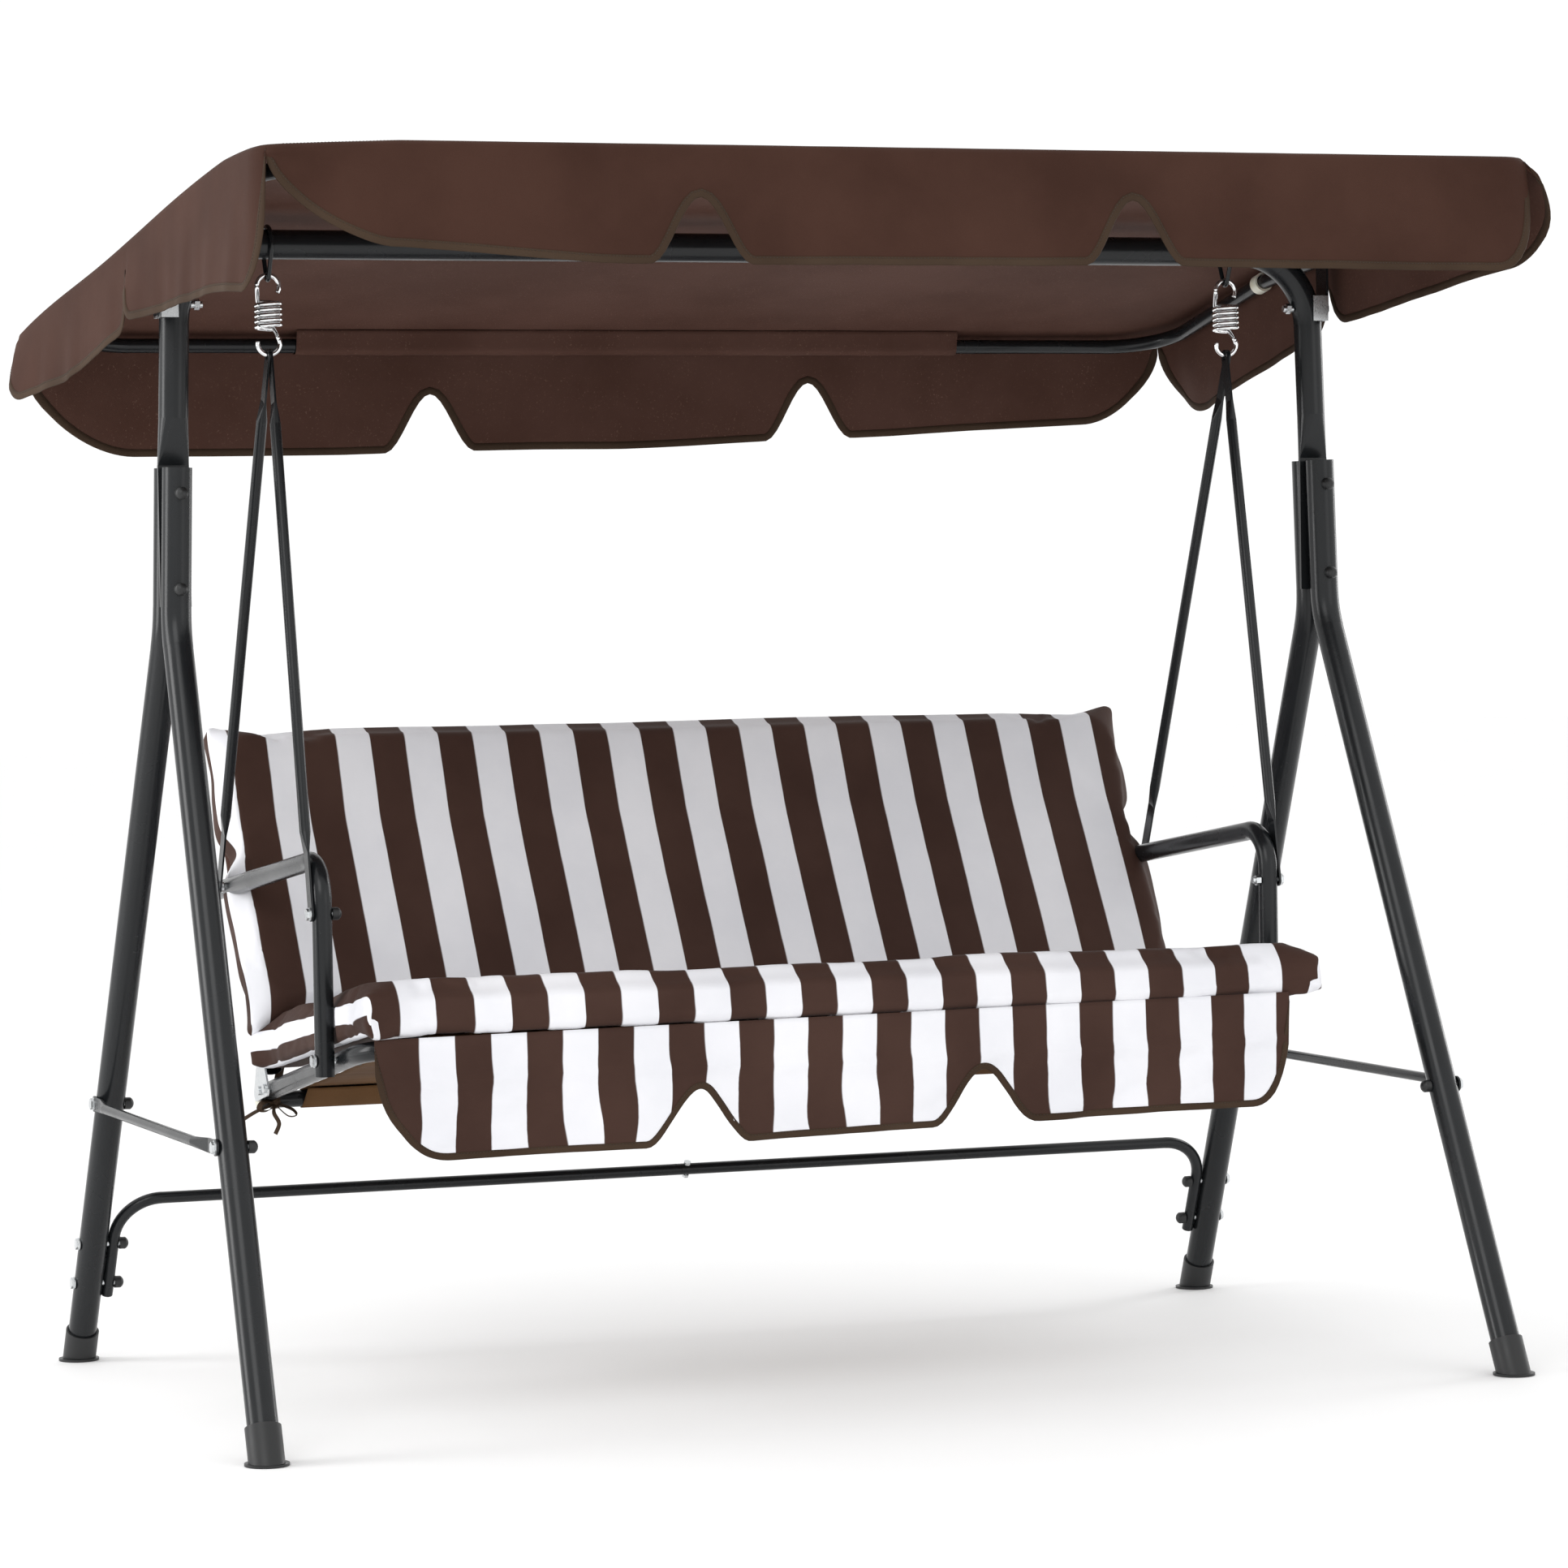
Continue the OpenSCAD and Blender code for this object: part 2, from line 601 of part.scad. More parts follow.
// Backrest hoop; v runs up the leaning backrest from the height of the reference point
module in_back_plane() translate([0, back_ref.x, back_ref.y]) rotate([90 - back_lean, 0, 0]) children();
function back_v(z) = (z - back_ref.y) / cos(back_lean);
module back_frame() color(FRAME_BLACK) difference() {
    in_back_plane() bent_tube([[-rail_in_x, back_v(back_low_z)], [-rail_in_x, back_v(back_top_z)],
        [rail_in_x, back_v(back_top_z)], [rail_in_x, back_v(back_low_z)]], back_bend_r, seat_d, arm_wall);
    both_sides() {
        translate([0, arm_back_y, arm_back_z]) x_cylinder(hole_d, 600, 700);
        translate([0, back_y(back_bolt_z), back_bolt_z]) x_cylinder(6.4, 600, 700);
    }
}
module at_plate_bolts() {
    for (y = rail_bolt_ys) translate([0, y, rail_z(y)]) children();
    translate([0, back_y(back_bolt_z), back_bolt_z]) children();
}
module plate_outline(y, z, d) translate([plate_x, y, z]) rotate([0, 90, 0]) cylinder(h = plate_t, d = d, $fn = 32);
module back_plates() color(ZINC) both_sides() difference() {
    hull() {
        plate_outline(rail_bolt_ys[0] - 2, rail_z(rail_bolt_ys[0]), 20);
        plate_outline(rail_bolt_ys[1] + 22, rail_z(rail_bolt_ys[1]) - 6, 20);
        plate_outline(back_y(back_bolt_z), back_bolt_z + 4, 22);
    }
    at_plate_bolts() x_cylinder(6.4, 600, 700);
}
module plate_bolts() color(ZINC) both_sides() at_plate_bolts() {
    x_cylinder(6, rail_inner_x - 5, plate_x + plate_t + 0.3);
    x_cylinder(12, plate_x + plate_t + 0.1, plate_x + plate_t + 3.6);
    translate([rail_inner_x - 4.6, 0, 0]) rotate([0, 90, 0]) cylinder(h = 4.4, d = 10, $fn = 6);
}

// Woven sling under the seat cushion, sewn round the front and rear cross tubes
sling_front = [seat_front_y, rail_z(seat_front_y)];
sling_rear = [cross_y, cross_z];
sling_line = unit(sling_rear - sling_front);
sling_up = [-sling_line.y, sling_line.x];
module sling_hem(point, d) translate([0, point.x, point.y]) x_cylinder(d, -sling_half, sling_half);
module sling_tube(point, d) translate([0, point.x, point.y]) x_cylinder(d, -sling_half - 1, sling_half + 1);
module seat_sling() color(CLOTH_BROWN) difference() {
    union() {
        sling_hem(sling_front, seat_d + 2 * cloth_t);
        sling_hem(sling_rear, cross_d + 2 * cloth_t);
        across(sling_half, [
            sling_front + sling_up * (seat_d / 2 + 0.3),
            sling_rear + sling_up * (cross_d / 2 + 0.3),
            sling_rear + sling_up * (cross_d / 2 + cloth_t - 0.1),
            sling_front + sling_up * (seat_d / 2 + cloth_t - 0.1)
        ]);
    }
    sling_tube(sling_front, seat_d + 0.3);
    sling_tube(sling_rear, cross_d + 0.3);
}

// Cloth across the backrest, sewn round its side tubes
back_sling_low = back_v(462);
back_sling_high = back_v(752);
back_cloth = 0.4;
module back_sling() color(CLOTH_BROWN) in_back_plane() difference() {
    union() {
        translate([-rail_in_x, back_sling_low, seat_d / 2 + 0.1])
            cube([2 * rail_in_x, back_sling_high - back_sling_low, back_cloth]);
        for (s = [-1, 1]) translate([s * rail_in_x, 0, 0])
            y_cylinder(seat_d + 2 * back_cloth + 0.2, back_sling_low, back_sling_high);
    }
    for (s = [-1, 1]) translate([s * rail_in_x, 0, 0])
        y_cylinder(seat_d + 0.2, back_sling_low - 1, back_sling_high + 1);
    translate([-far / 2, back_v(arm_back_z) - 18, -far - 6]) cube([far, 36, far + 14]);
}

// Cushions: plain pads cut to the seat and the backrest
module across(half, pts) translate([-half, 0, 0]) in_yz() linear_extrude(2 * half) polygon(pts);
module seat_cushion() color(CLOTH_WHITE) across(cushion_half, [
    [seat_cushion_front_y, rail_z(seat_cushion_front_y) + seat_lift],
    [seat_cushion_rear_y, rail_z(seat_cushion_rear_y) + seat_lift],
    [seat_cushion_rear_y, seat_top(seat_cushion_rear_y)],
    [seat_cushion_front_y, seat_top(seat_cushion_front_y)]
]);
// A point n in front of the backrest axis at height z
function back_point(z, n) = [back_y(z) - n * cos(back_lean), z + n * sin(back_lean)];
// Where a line parallel to the backrest, n in front of it, meets the top of the seat cushion
function back_meets_seat(n) =
    let (p = back_point(back_ref.y, n), k = tan(back_lean), f = tan(seat_fall),
        z = (seat_top(0) + 1 - f * (p.x - k * p.y)) / (1 + f * k))
    [p.x + k * (z - p.y), z];
cushion_top_z = 806;
// It is wider than the seat cushion, with a groove where each armrest passes its edge
groove_d = seat_d + 3;
groove_end_y = arm_rear_y + 60;
module back_cushion() color(CLOTH_WHITE) difference() {
    across(back_cushion_half, [
        back_meets_seat(back_gap + cushion_t),
        back_meets_seat(back_gap),
        back_point(cushion_top_z + 22, back_gap),
        back_point(cushion_top_z + 14, back_gap + cushion_t * 0.6),
        back_point(cushion_top_z - 4, back_gap + cushion_t)
    ]);
    both_sides() translate([arm_x, 0, 0]) in_yz()
        rod([arm_front_y, arm_at_front_z], [groove_end_y, arm_z(groove_end_y)], groove_d);
}

// Lobed skirt under the front edge of the seat cushion
skirt_y = seat_cushion_front_y + 3;
module seat_skirt() color(CLOTH_WHITE)
    translate([0, skirt_y + cloth_t, rail_z(skirt_y) + seat_lift - 1])
        in_xz() linear_extrude(cloth_t) lobes(skirt_half, skirt_drop, [-192, 192], 70, 42);

// Tape ties that hold the rear corners of the cushion to the frame
tie_y = 222;
module cushion_ties() color(CLOTH_BROWN) both_sides() translate([rail_inner_x - 1, tie_y, cross_z]) {
    translate([-9, -2, 6]) cube([8, 3, 60]);
    translate([-14, -9, -5]) cube([13, 8, 12]);
}

// ---- canopy ----

module in_front_plane() translate([0, 0, rail_mid_z]) rotate([-front_fall, 0, 0]) children();
module in_rear_plane() translate([0, ring_y, rail_joint_z]) rotate([-rear_fall, 0, 0]) children();
function front_u(y) = y / cos(front_fall);
function rear_u(y) = (y - ring_y) / cos(rear_fall);
module canopy_rail_front_right() color(FRAME_BLACK) in_front_plane()
    bent_tube([[rail_x, front_u(ring_y) - 1], [rail_x, front_u(front_bar_y)], [bar_half, front_u(front_bar_y)]],
        rail_bend_r, rail_d, rail_wall);
module canopy_rail_rear_right() color(FRAME_BLACK) in_rear_plane()
    bent_tube([[rail_x, 1], [rail_x, rear_u(rear_bar_y)], [bar_half, rear_u(rear_bar_y)]],
        rail_bend_r, rail_d, rail_wall);
module canopy_rail_front_left() to_left() canopy_rail_front_right();
module canopy_rail_rear_left() to_left() canopy_rail_rear_right();
module bar() {
    inner_d = rail_d - 2 * rail_wall - 0.3;
    difference() {
        union() {
            x_cylinder(rail_d, -bar_half + 0.2, bar_half - 0.2);
            x_cylinder(inner_d, -bar_half - 40, bar_half + 40);
        }
        x_cylinder(inner_d - 2, -bar_half - 41, bar_half + 41);
    }
}
module canopy_front_bar() color(FRAME_BLACK) in_front_plane() translate([0, front_u(front_bar_y), 0]) bar();
module canopy_rear_bar() color(FRAME_BLACK) in_rear_plane() translate([0, rear_u(rear_bar_y), 0]) bar();

// Plastic ring over the joint of the front and rear rails
module canopy_rings() color(CREAM) both_sides() in_rear_plane() translate([rail_x, 0, 0]) difference() {
    y_cylinder(rail_d + 7, -9, 9);
    y_cylinder(rail_d + 1.2, -10, 10);
}

// Plate that hangs from the side rail and turns on the pivot bolt
module pivot_plates() color(FRAME_BLACK) both_sides() difference() {
    union() {
        translate([pivot_plate_x, 0, pivot_z]) x_cylinder(32, 0, pivot_plate_t);
        translate([pivot_plate_x, -16, pivot_z]) cube([pivot_plate_t, 32, rail_mid_z - pivot_z]);
    }
    translate([0, 0, pivot_z]) x_cylinder(bolt_d + 0.16, 700, 900);
    in_front_plane() translate([rail_x, 0, 0]) y_cylinder(rail_d + 0.2, -60, 60);
}

// Canopy cloth: an arched sheet over the rails, with lobed valances on its four sides
chord = [2 * roof_half_d, roof_rear_z - roof_front_z];
roof_r = (norm(chord) * norm(chord) / 4 + roof_rise * roof_rise) / (2 * roof_rise);
roof_mid = [0, (roof_front_z + roof_rear_z) / 2];
roof_up = [-chord.y, chord.x] / norm(chord);
roof_centre = roof_mid + roof_up * (roof_rise - roof_r);
roof_a = atan2(roof_front_z - roof_centre.y, -roof_half_d - roof_centre.x);
roof_b = atan2(roof_rear_z - roof_centre.y, roof_half_d - roof_centre.x);
function roof_point(i, r) =
    let (a = roof_a + (roof_b - roof_a) * i / roof_segments) roof_centre + r * [cos(a), sin(a)];
module canopy_roof() color(CLOTH_BROWN) across(roof_half_w, concat(
    [for (i = [0:roof_segments]) roof_point(i, roof_r)],
    [for (i = [roof_segments:-1:0]) roof_point(i, roof_r + cloth_t)]
));
valance_notch = 82;
module valance_front() color(CLOTH_BROWN) translate([0, -roof_half_d - 0.5, roof_front_z + 1])
    in_xz() linear_extrude(cloth_t) lobes(roof_half_w, valance_drop, [-281, 281], valance_notch, 44);
module valance_rear() color(CLOTH_BROWN) translate([0, roof_half_d + 0.5 + cloth_t, roof_rear_z + 1])
    in_xz() linear_extrude(cloth_t) lobes(roof_half_w, valance_drop, [-281, 281], valance_notch, 44);
// The side valances follow the arch of the roof
function side_edge(y) = lobe_edge(y, roof_half_d, valance_drop, [20], valance_notch, 44);
module valance_right() color(CLOTH_BROWN) translate([roof_half_w + 0.1, 0, 0]) in_yz()
    linear_extrude(cloth_t) polygon(concat(
        [for (i = [0:roof_segments]) roof_point(i, roof_r)],
        [for (i = [4 * roof_segments:-1:0])
            let (p = roof_point(i / 4, roof_r)) p + [0, side_edge(p.x)]]
    ));
module valance_left() to_left() valance_right();

// ---- assembly ----

leg_front_left();
leg_front_right();
leg_rear_left();
leg_rear_right();
foot_front_left();
foot_front_right();
foot_rear_left();
foot_rear_right();
top_beam_left();
top_beam_right();
brace_left();
brace_right();
tie_bar_left();
tie_bar_right();
tie_bar_bolt();
clamp_bolts();
clamp_caps();
leg_bolts();
leg_caps();
canopy_bracket_left();
canopy_bracket_right();
pivot_bolts();
loop_left();
loop_right();
spring_left();
spring_right();
hanger_front_left();
hanger_front_right();
hanger_rear_left();
hanger_rear_right();
armrest_left();
armrest_right();
armrest_bolts();
armrest_caps();
seat_frame();
seat_rear_tube();
seat_tube_plugs();
back_frame();
back_plates();
plate_bolts();
seat_sling();
back_sling();
seat_cushion();
back_cushion();
seat_skirt();
cushion_ties();
canopy_rail_front_left();
canopy_rail_front_right();
canopy_rail_rear_left();
canopy_rail_rear_right();
canopy_front_bar();
canopy_rear_bar();
canopy_rings();
pivot_plates();
canopy_roof();
valance_front();
valance_rear();
valance_left();
valance_right();
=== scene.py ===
"""Looks of the canopy swing bench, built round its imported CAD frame. Metres, +Z up, +Y to the back."""
import json
from math import copysign, cos, exp, pi, radians, sin, sqrt, tan

import bmesh
import bpy
import numpy as np
from mathutils import Matrix, Vector, noise


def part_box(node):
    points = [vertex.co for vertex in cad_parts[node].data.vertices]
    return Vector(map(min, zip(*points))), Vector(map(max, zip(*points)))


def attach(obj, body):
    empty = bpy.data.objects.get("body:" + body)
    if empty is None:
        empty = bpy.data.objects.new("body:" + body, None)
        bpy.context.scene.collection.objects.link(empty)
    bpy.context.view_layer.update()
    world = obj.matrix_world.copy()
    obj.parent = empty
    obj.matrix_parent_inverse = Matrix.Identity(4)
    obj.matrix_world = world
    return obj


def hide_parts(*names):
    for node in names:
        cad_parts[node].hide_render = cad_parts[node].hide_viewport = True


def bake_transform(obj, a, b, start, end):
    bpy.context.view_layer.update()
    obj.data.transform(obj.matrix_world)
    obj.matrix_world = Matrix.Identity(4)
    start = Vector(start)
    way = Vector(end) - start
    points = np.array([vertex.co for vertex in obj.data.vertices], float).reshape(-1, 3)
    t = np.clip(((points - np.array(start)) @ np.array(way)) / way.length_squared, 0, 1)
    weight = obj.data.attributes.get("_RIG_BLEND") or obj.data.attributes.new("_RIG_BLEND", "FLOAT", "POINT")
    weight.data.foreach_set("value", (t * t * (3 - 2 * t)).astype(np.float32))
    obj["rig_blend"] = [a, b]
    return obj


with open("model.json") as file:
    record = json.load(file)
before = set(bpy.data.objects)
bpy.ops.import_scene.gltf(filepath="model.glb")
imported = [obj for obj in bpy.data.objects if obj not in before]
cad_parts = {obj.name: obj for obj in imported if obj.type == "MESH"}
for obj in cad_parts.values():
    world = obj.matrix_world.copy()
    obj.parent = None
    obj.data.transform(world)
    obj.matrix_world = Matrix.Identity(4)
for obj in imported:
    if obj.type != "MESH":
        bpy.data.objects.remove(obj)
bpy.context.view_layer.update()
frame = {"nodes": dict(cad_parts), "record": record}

NODES = frame["nodes"]
SCENE = bpy.context.scene
MM = 0.001
UP = Vector((0, 0, 1))
CLOTH_THICK = 0.9 * MM
PAD_THICK = 53 * MM  # a cushion as it is cut, before it swells
PAD_INSET = 12 * MM  # how much smaller it is cut on each side
WRAP_LENGTH = 53 * MM  # how far the backrest cover goes round its tube
HOOK_RADIUS = 14.5 * MM  # a spring's hooks, at the middle of their wire


def add_object(name, data):
    obj = bpy.data.objects.new(name, data)
    SCENE.collection.objects.link(obj)
    return obj


def middle(name):
    """The middle of a CAD node's box."""
    low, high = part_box(name)
    return (low + high) / 2


def rough(*place):
    """Smooth noise from -1 to 1 at a place."""
    return noise.noise(Vector(place))


# ------------ camera, light and floor


def make_camera():
    """The photograph's eye: low, from the front left, with a long lens."""
    yaw, pitch, roll = 0.355, 0.035, 0.0157
    ahead = Vector((sin(yaw) * cos(pitch), cos(yaw) * cos(pitch), -sin(pitch)))
    level = Vector((cos(yaw), -sin(yaw), 0))
    down = ahead.cross(level)
    right = cos(roll) * level + sin(roll) * down
    below = cos(roll) * down - sin(roll) * level
    data = bpy.data.cameras.new("camera")
    data.sensor_width = 36
    data.lens = 124.34
    data.clip_end = 100
    camera = add_object("camera", data)
    camera.matrix_world = Matrix((right, -below, -ahead)).transposed().to_4x4()
    camera.location = (-2.4492, -6.6599, 1.0159)
    SCENE.camera = camera


def area_light(name, place, aim, size, watts):
    data = bpy.data.lights.new(name, "AREA")
    data.shape = "RECTANGLE"
    data.size, data.size_y = size
    data.energy = watts
    light = add_object(name, data)
    light.location = place
    light.rotation_euler = (Vector(aim) - Vector(place)).to_track_quat("-Z", "Y").to_euler()


def make_studio():
    world = bpy.data.worlds.new("studio")
    SCENE.world = world
    world.use_nodes = True
    back = world.node_tree.nodes["Background"]
    back.inputs["Color"].default_value = (1.0, 1.0, 1.0, 1)
    back.inputs["Strength"].default_value = 1.06
    area_light("key", (-3.2, -4.2, 4.2), (0, 0, 0.8), (3.0, 3.0), 66)
    area_light("front_fill", (2.6, -4.6, 1.6), (0, 0, 0.8), (2.4, 2.6), 12)
    area_light("rim_left", (-3.8, 0.6, 1.9), (0, 0, 1.1), (1.2, 3.0), 62)
    area_light("rim_right", (3.8, 1.2, 1.8), (0, 0, 0.9), (0.7, 3.0), 30)
    SCENE.view_settings.view_transform = "Standard"
    mesh = bpy.data.meshes.new("floor")
    half = 30
    mesh.from_pydata([(-half, -half, 0), (half, -half, 0), (half, half, 0), (-half, half, 0)], [], [(0, 1, 2, 3)])
    floor = add_object("floor", mesh)
    floor.location.z = -0.4 * MM
    m = Shader("floor")
    m.surface(color=m.vary((0.93, 0.93, 0.93), (0.955, 0.955, 0.955), m.noise(3)), roughness=0.7)
    mesh.materials.append(m.material)


# ------------ materials


class Shader:
    """A short way to write a material's nodes: each call adds a node and returns its output."""

    def __init__(self, name):
        self.material = bpy.data.materials.new(name)
        self.material.use_nodes = True
        self.tree = self.material.node_tree
        self.bsdf = self.tree.nodes["Principled BSDF"]
        self.place = self.node("TexCoord")["Object"]

    def node(self, kind, inputs=(), **settings):
        """Adds a node with its inputs set or linked by name, and returns its outputs."""
        node = self.tree.nodes.new("ShaderNode" + kind)
        for key, value in settings.items():
            setattr(node, key, value)
        for key, value in dict(inputs).items():
            self.put(value, node.inputs[key])
        return node.outputs

    def put(self, value, socket):
        if isinstance(value, bpy.types.NodeSocket):
            self.tree.links.new(value, socket)
        elif isinstance(value, (tuple, list)) and len(value) == 3 and len(socket.default_value) == 4:
            socket.default_value = (*value, 1)
        else:
            socket.default_value = value

    def noise(self, scale, detail=3.0, roughness=0.5, distortion=0.0):
        return self.node("TexNoise", {"Vector": self.place, "Scale": scale, "Detail": detail,
                                      "Roughness": roughness, "Distortion": distortion})["Fac"]

    def math(self, operation, a, b=0.0):
        return self.node("Math", {0: a, 1: b}, operation=operation)[0]

    def times(self, a, b):
        return self.math("MULTIPLY", a, b)

    def ramp(self, value, low, high, to_low=0.0, to_high=1.0):
        limits = {"From Min": low, "From Max": high, "To Min": to_low, "To Max": to_high}
        return self.node("MapRange", {"Value": value, **limits}, interpolation_type="SMOOTHSTEP")["Result"]

    def vary(self, a, b, factor):
        """A colour between a and b."""
        return self.node("Mix", {"Factor": factor, "A": a, "B": b}, data_type="RGBA")["Result"]

    def uv(self):
        """Cloth coordinates in metres, along and across the warp."""
        place = self.node("UVMap", uv_map="cloth")["UV"]
        split = self.node("SeparateXYZ", {0: place})
        return split["X"], split["Y"]

    def threads(self, along, across, pitch):
        """Height of a plain weave: rounded threads that pass over and under each other."""
        warp, weft = (self.math("SINE", self.times(place, pi / pitch)) for place in (along, across))
        top = self.math("MAXIMUM", self.math("ABSOLUTE", warp), self.math("ABSOLUTE", weft))
        return self.math("ADD", top, self.times(self.times(warp, weft), 0.5))

    def bump(self, height, distance, strength, onto=None):
        under = {} if onto is None else {"Normal": onto}
        return self.node("Bump", {"Distance": distance, "Strength": strength, "Height": height, **under})["Normal"]

    def surface(self, color, roughness, metallic=0.0, normal=None, specular=0.5, **sockets):
        self.put(color, self.bsdf.inputs["Base Color"])
        self.put(roughness, self.bsdf.inputs["Roughness"])
        self.bsdf.inputs["Metallic"].default_value = metallic
        self.bsdf.inputs["Specular IOR Level"].default_value = specular
        if normal is not None:
            self.put(normal, self.bsdf.inputs["Normal"])
        for key, value in sockets.items():
            self.put(value, self.bsdf.inputs[key.replace("_", " ")])
        return self.material


BROWN_DARK = (0.041, 0.0170, 0.0112)
BROWN_LIGHT = (0.064, 0.0290, 0.0200)


def powder_coat():
    m = Shader("frame_black")
    peel = m.noise(420, 2)
    grain = m.noise(1500, 1)
    smudge = m.noise(9, 4, 0.6)
    scuff = m.ramp(m.noise(60, 6, 0.7, distortion=1.5), 0.66, 0.74)
    color = m.vary(m.vary((0.0070, 0.0080, 0.0090), (0.0120, 0.0135, 0.0150), smudge), (0.03, 0.031, 0.032),
                   m.times(scuff, 0.25))
    roughness = m.math("ADD", m.ramp(smudge, 0.3, 0.7, 0.2, 0.3), m.times(scuff, 0.12))
    normal = m.bump(peel, 0.05 * MM, 0.6, m.bump(grain, 0.02 * MM, 0.4))
    return m.surface(color, roughness, normal=normal, specular=0.32)


def molded_black():
    m = Shader("cap_black")
    grain = m.noise(900, 3, 0.6)
    cloud = m.noise(25, 3)
    color = m.vary((0.008, 0.0085, 0.009), (0.016, 0.0165, 0.017), cloud)
    return m.surface(color, m.ramp(cloud, 0.3, 0.7, 0.36, 0.5), normal=m.bump(grain, 0.06 * MM, 0.6), specular=0.45)


def zinc():
    m = Shader("zinc")
    spangle = m.noise(160, 4, 0.6)
    brushed = m.noise(900, 2)
    color = m.vary((0.52, 0.55, 0.58), (0.78, 0.79, 0.78), spangle)
    return m.surface(color, m.ramp(brushed, 0.3, 0.7, 0.24, 0.4), 1.0, m.bump(brushed, 0.02 * MM, 0.5))


def chrome():
    m = Shader("chrome")
    drawn = m.noise(300, 3)
    color = m.vary((0.78, 0.79, 0.80), (0.88, 0.88, 0.88), drawn)
    return m.surface(color, m.ramp(drawn, 0.3, 0.7, 0.05, 0.13), 1.0, m.bump(m.noise(90, 2), 0.03 * MM, 0.3))


def cream_plastic():
    m = Shader("cream_plastic")
    cloud = m.noise(40, 3)
    color = m.vary((0.72, 0.67, 0.54), (0.82, 0.79, 0.68), cloud)
    return m.surface(color, m.ramp(cloud, 0.3, 0.7, 0.3, 0.42), normal=m.bump(m.noise(600, 2), 0.04 * MM, 0.5),
                     Subsurface_Weight=0.1)


def brown_cloth(name, dark=BROWN_DARK, light=BROWN_LIGHT, speckle=0.0, pitch=0.9 * MM):
    """Coated polyester: a fine weave, soft uneven dye, and on its coated side small bright specks."""
    m = Shader(name)
    along, across = m.uv()
    weave = m.threads(along, across, pitch)
    cloud = m.noise(5, 5, 0.55)
    fibre = m.noise(1400, 2, 0.7)
    color = m.vary(dark, light, m.ramp(cloud, 0.25, 0.75))
    color = m.vary(color, tuple(c * 0.72 for c in dark), m.times(fibre, 0.35))
    if speckle:
        specks = m.ramp(m.noise(330, 2, 0.8), 0.62, 0.7)
        patches = m.ramp(m.noise(14, 3), 0.35, 0.65, 0.25, 1.0)
        color = m.vary(color, (0.22, 0.13, 0.1), m.times(m.times(specks, patches), speckle))
    roughness = m.ramp(fibre, 0.2, 0.8, 0.62, 0.82)
    normal = m.bump(weave, 0.12 * MM, 0.5, m.bump(m.noise(36, 4, 0.6), 0.6 * MM, 0.35))
    return m.surface(color, roughness, normal=normal, specular=0.10, Sheen_Weight=0.02, Sheen_Roughness=0.45,
                     Sheen_Tint=(0.55, 0.34, 0.26))


def striped_cloth(period):
    """White and brown bands printed on a plain weave; the mesh carries the distance across the bands."""
    m = Shader("cloth_striped")
    place = m.node("SeparateXYZ", {0: m.place})
    band = m.node("Attribute", attribute_name="stripe")["Fac"]
    wander = m.times(m.math("SUBTRACT", m.noise(22, 2), 0.5), 1.2 * MM)
    phase = m.math("FRACT", m.math("DIVIDE", m.math("ADD", band, wander), period))
    edge = 0.012
    white = m.times(m.ramp(phase, 0.5 - edge, 0.5 + edge), m.ramp(phase, 1 - edge, 1.0, 1.0, 0.0))
    cloud = m.noise(4.5, 5, 0.55)
    fibre = m.noise(1500, 2, 0.7)
    dark = m.vary((0.043, 0.0205, 0.0150), (0.068, 0.035, 0.0262), m.ramp(cloud, 0.25, 0.75))
    dark = m.vary(dark, (0.03, 0.014, 0.01), m.times(fibre, 0.3))
    pale = m.vary((0.76, 0.765, 0.80), (0.86, 0.86, 0.885), m.ramp(cloud, 0.3, 0.7))
    pale = m.vary(pale, (0.66, 0.66, 0.72), m.times(fibre, 0.25))
    weave = m.threads(band, m.math("ADD", place["Y"], place["Z"]), 0.8 * MM)
    crease = m.noise(26, 5, 0.55, distortion=0.6)
    normal = m.bump(weave, 0.1 * MM, 0.45, m.bump(crease, 1.2 * MM, 0.3))
    return m.surface(m.vary(dark, pale, white), m.ramp(fibre, 0.2, 0.8, 0.6, 0.8), normal=normal, specular=0.12,
                     Sheen_Weight=0.02, Sheen_Roughness=0.5)


def thread_material(name, color):
    m = Shader(name)
    ply = m.noise(2500, 1)
    return m.surface(m.vary(tuple(c * 0.7 for c in color), color, ply), 0.7, normal=m.bump(ply, 0.05 * MM, 0.6))


# ------------ mesh helpers


def new_object(name, verts, faces, material, uvs=None):
    mesh = bpy.data.meshes.new(name)
    mesh.from_pydata([tuple(v) for v in verts], [], faces)
    mesh.polygons.foreach_set("use_smooth", [True] * len(mesh.polygons))
    mesh.materials.append(material)
    if uvs is not None:
        layer = mesh.uv_layers.new(name="cloth")
        corners = np.zeros(len(mesh.loops), np.int32)
        mesh.loops.foreach_get("vertex_index", corners)
        layer.data.foreach_set("uv", np.asarray(uvs, np.float32)[corners].ravel())
    return add_object(name, mesh)


def carry(obj, body, slot, *replaced):
    """obj rides on a body and stands for CAD nodes, which it hides; slot is not used."""
    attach(obj, body)
    if replaced:
        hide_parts(*replaced)
    return obj


def spline(points, step):
    """Points step apart along a smooth curve through the given points."""
    p = [Vector(q) for q in points]
    p = [2 * p[0] - p[1], *p, 2 * p[-1] - p[-2]]
    out = []
    for a, b, c, d in zip(p, p[1:], p[2:], p[3:]):
        count = max(1, round((c - b).length / step))
        for i in range(count):
            t = i / count
            out.append(0.5 * (2 * b + (c - a) * t + (2 * a - 5 * b + 4 * c - d) * t ** 2
                              + (3 * b - a - 3 * c + d) * t ** 3))
    out.append(p[-2])
    return out


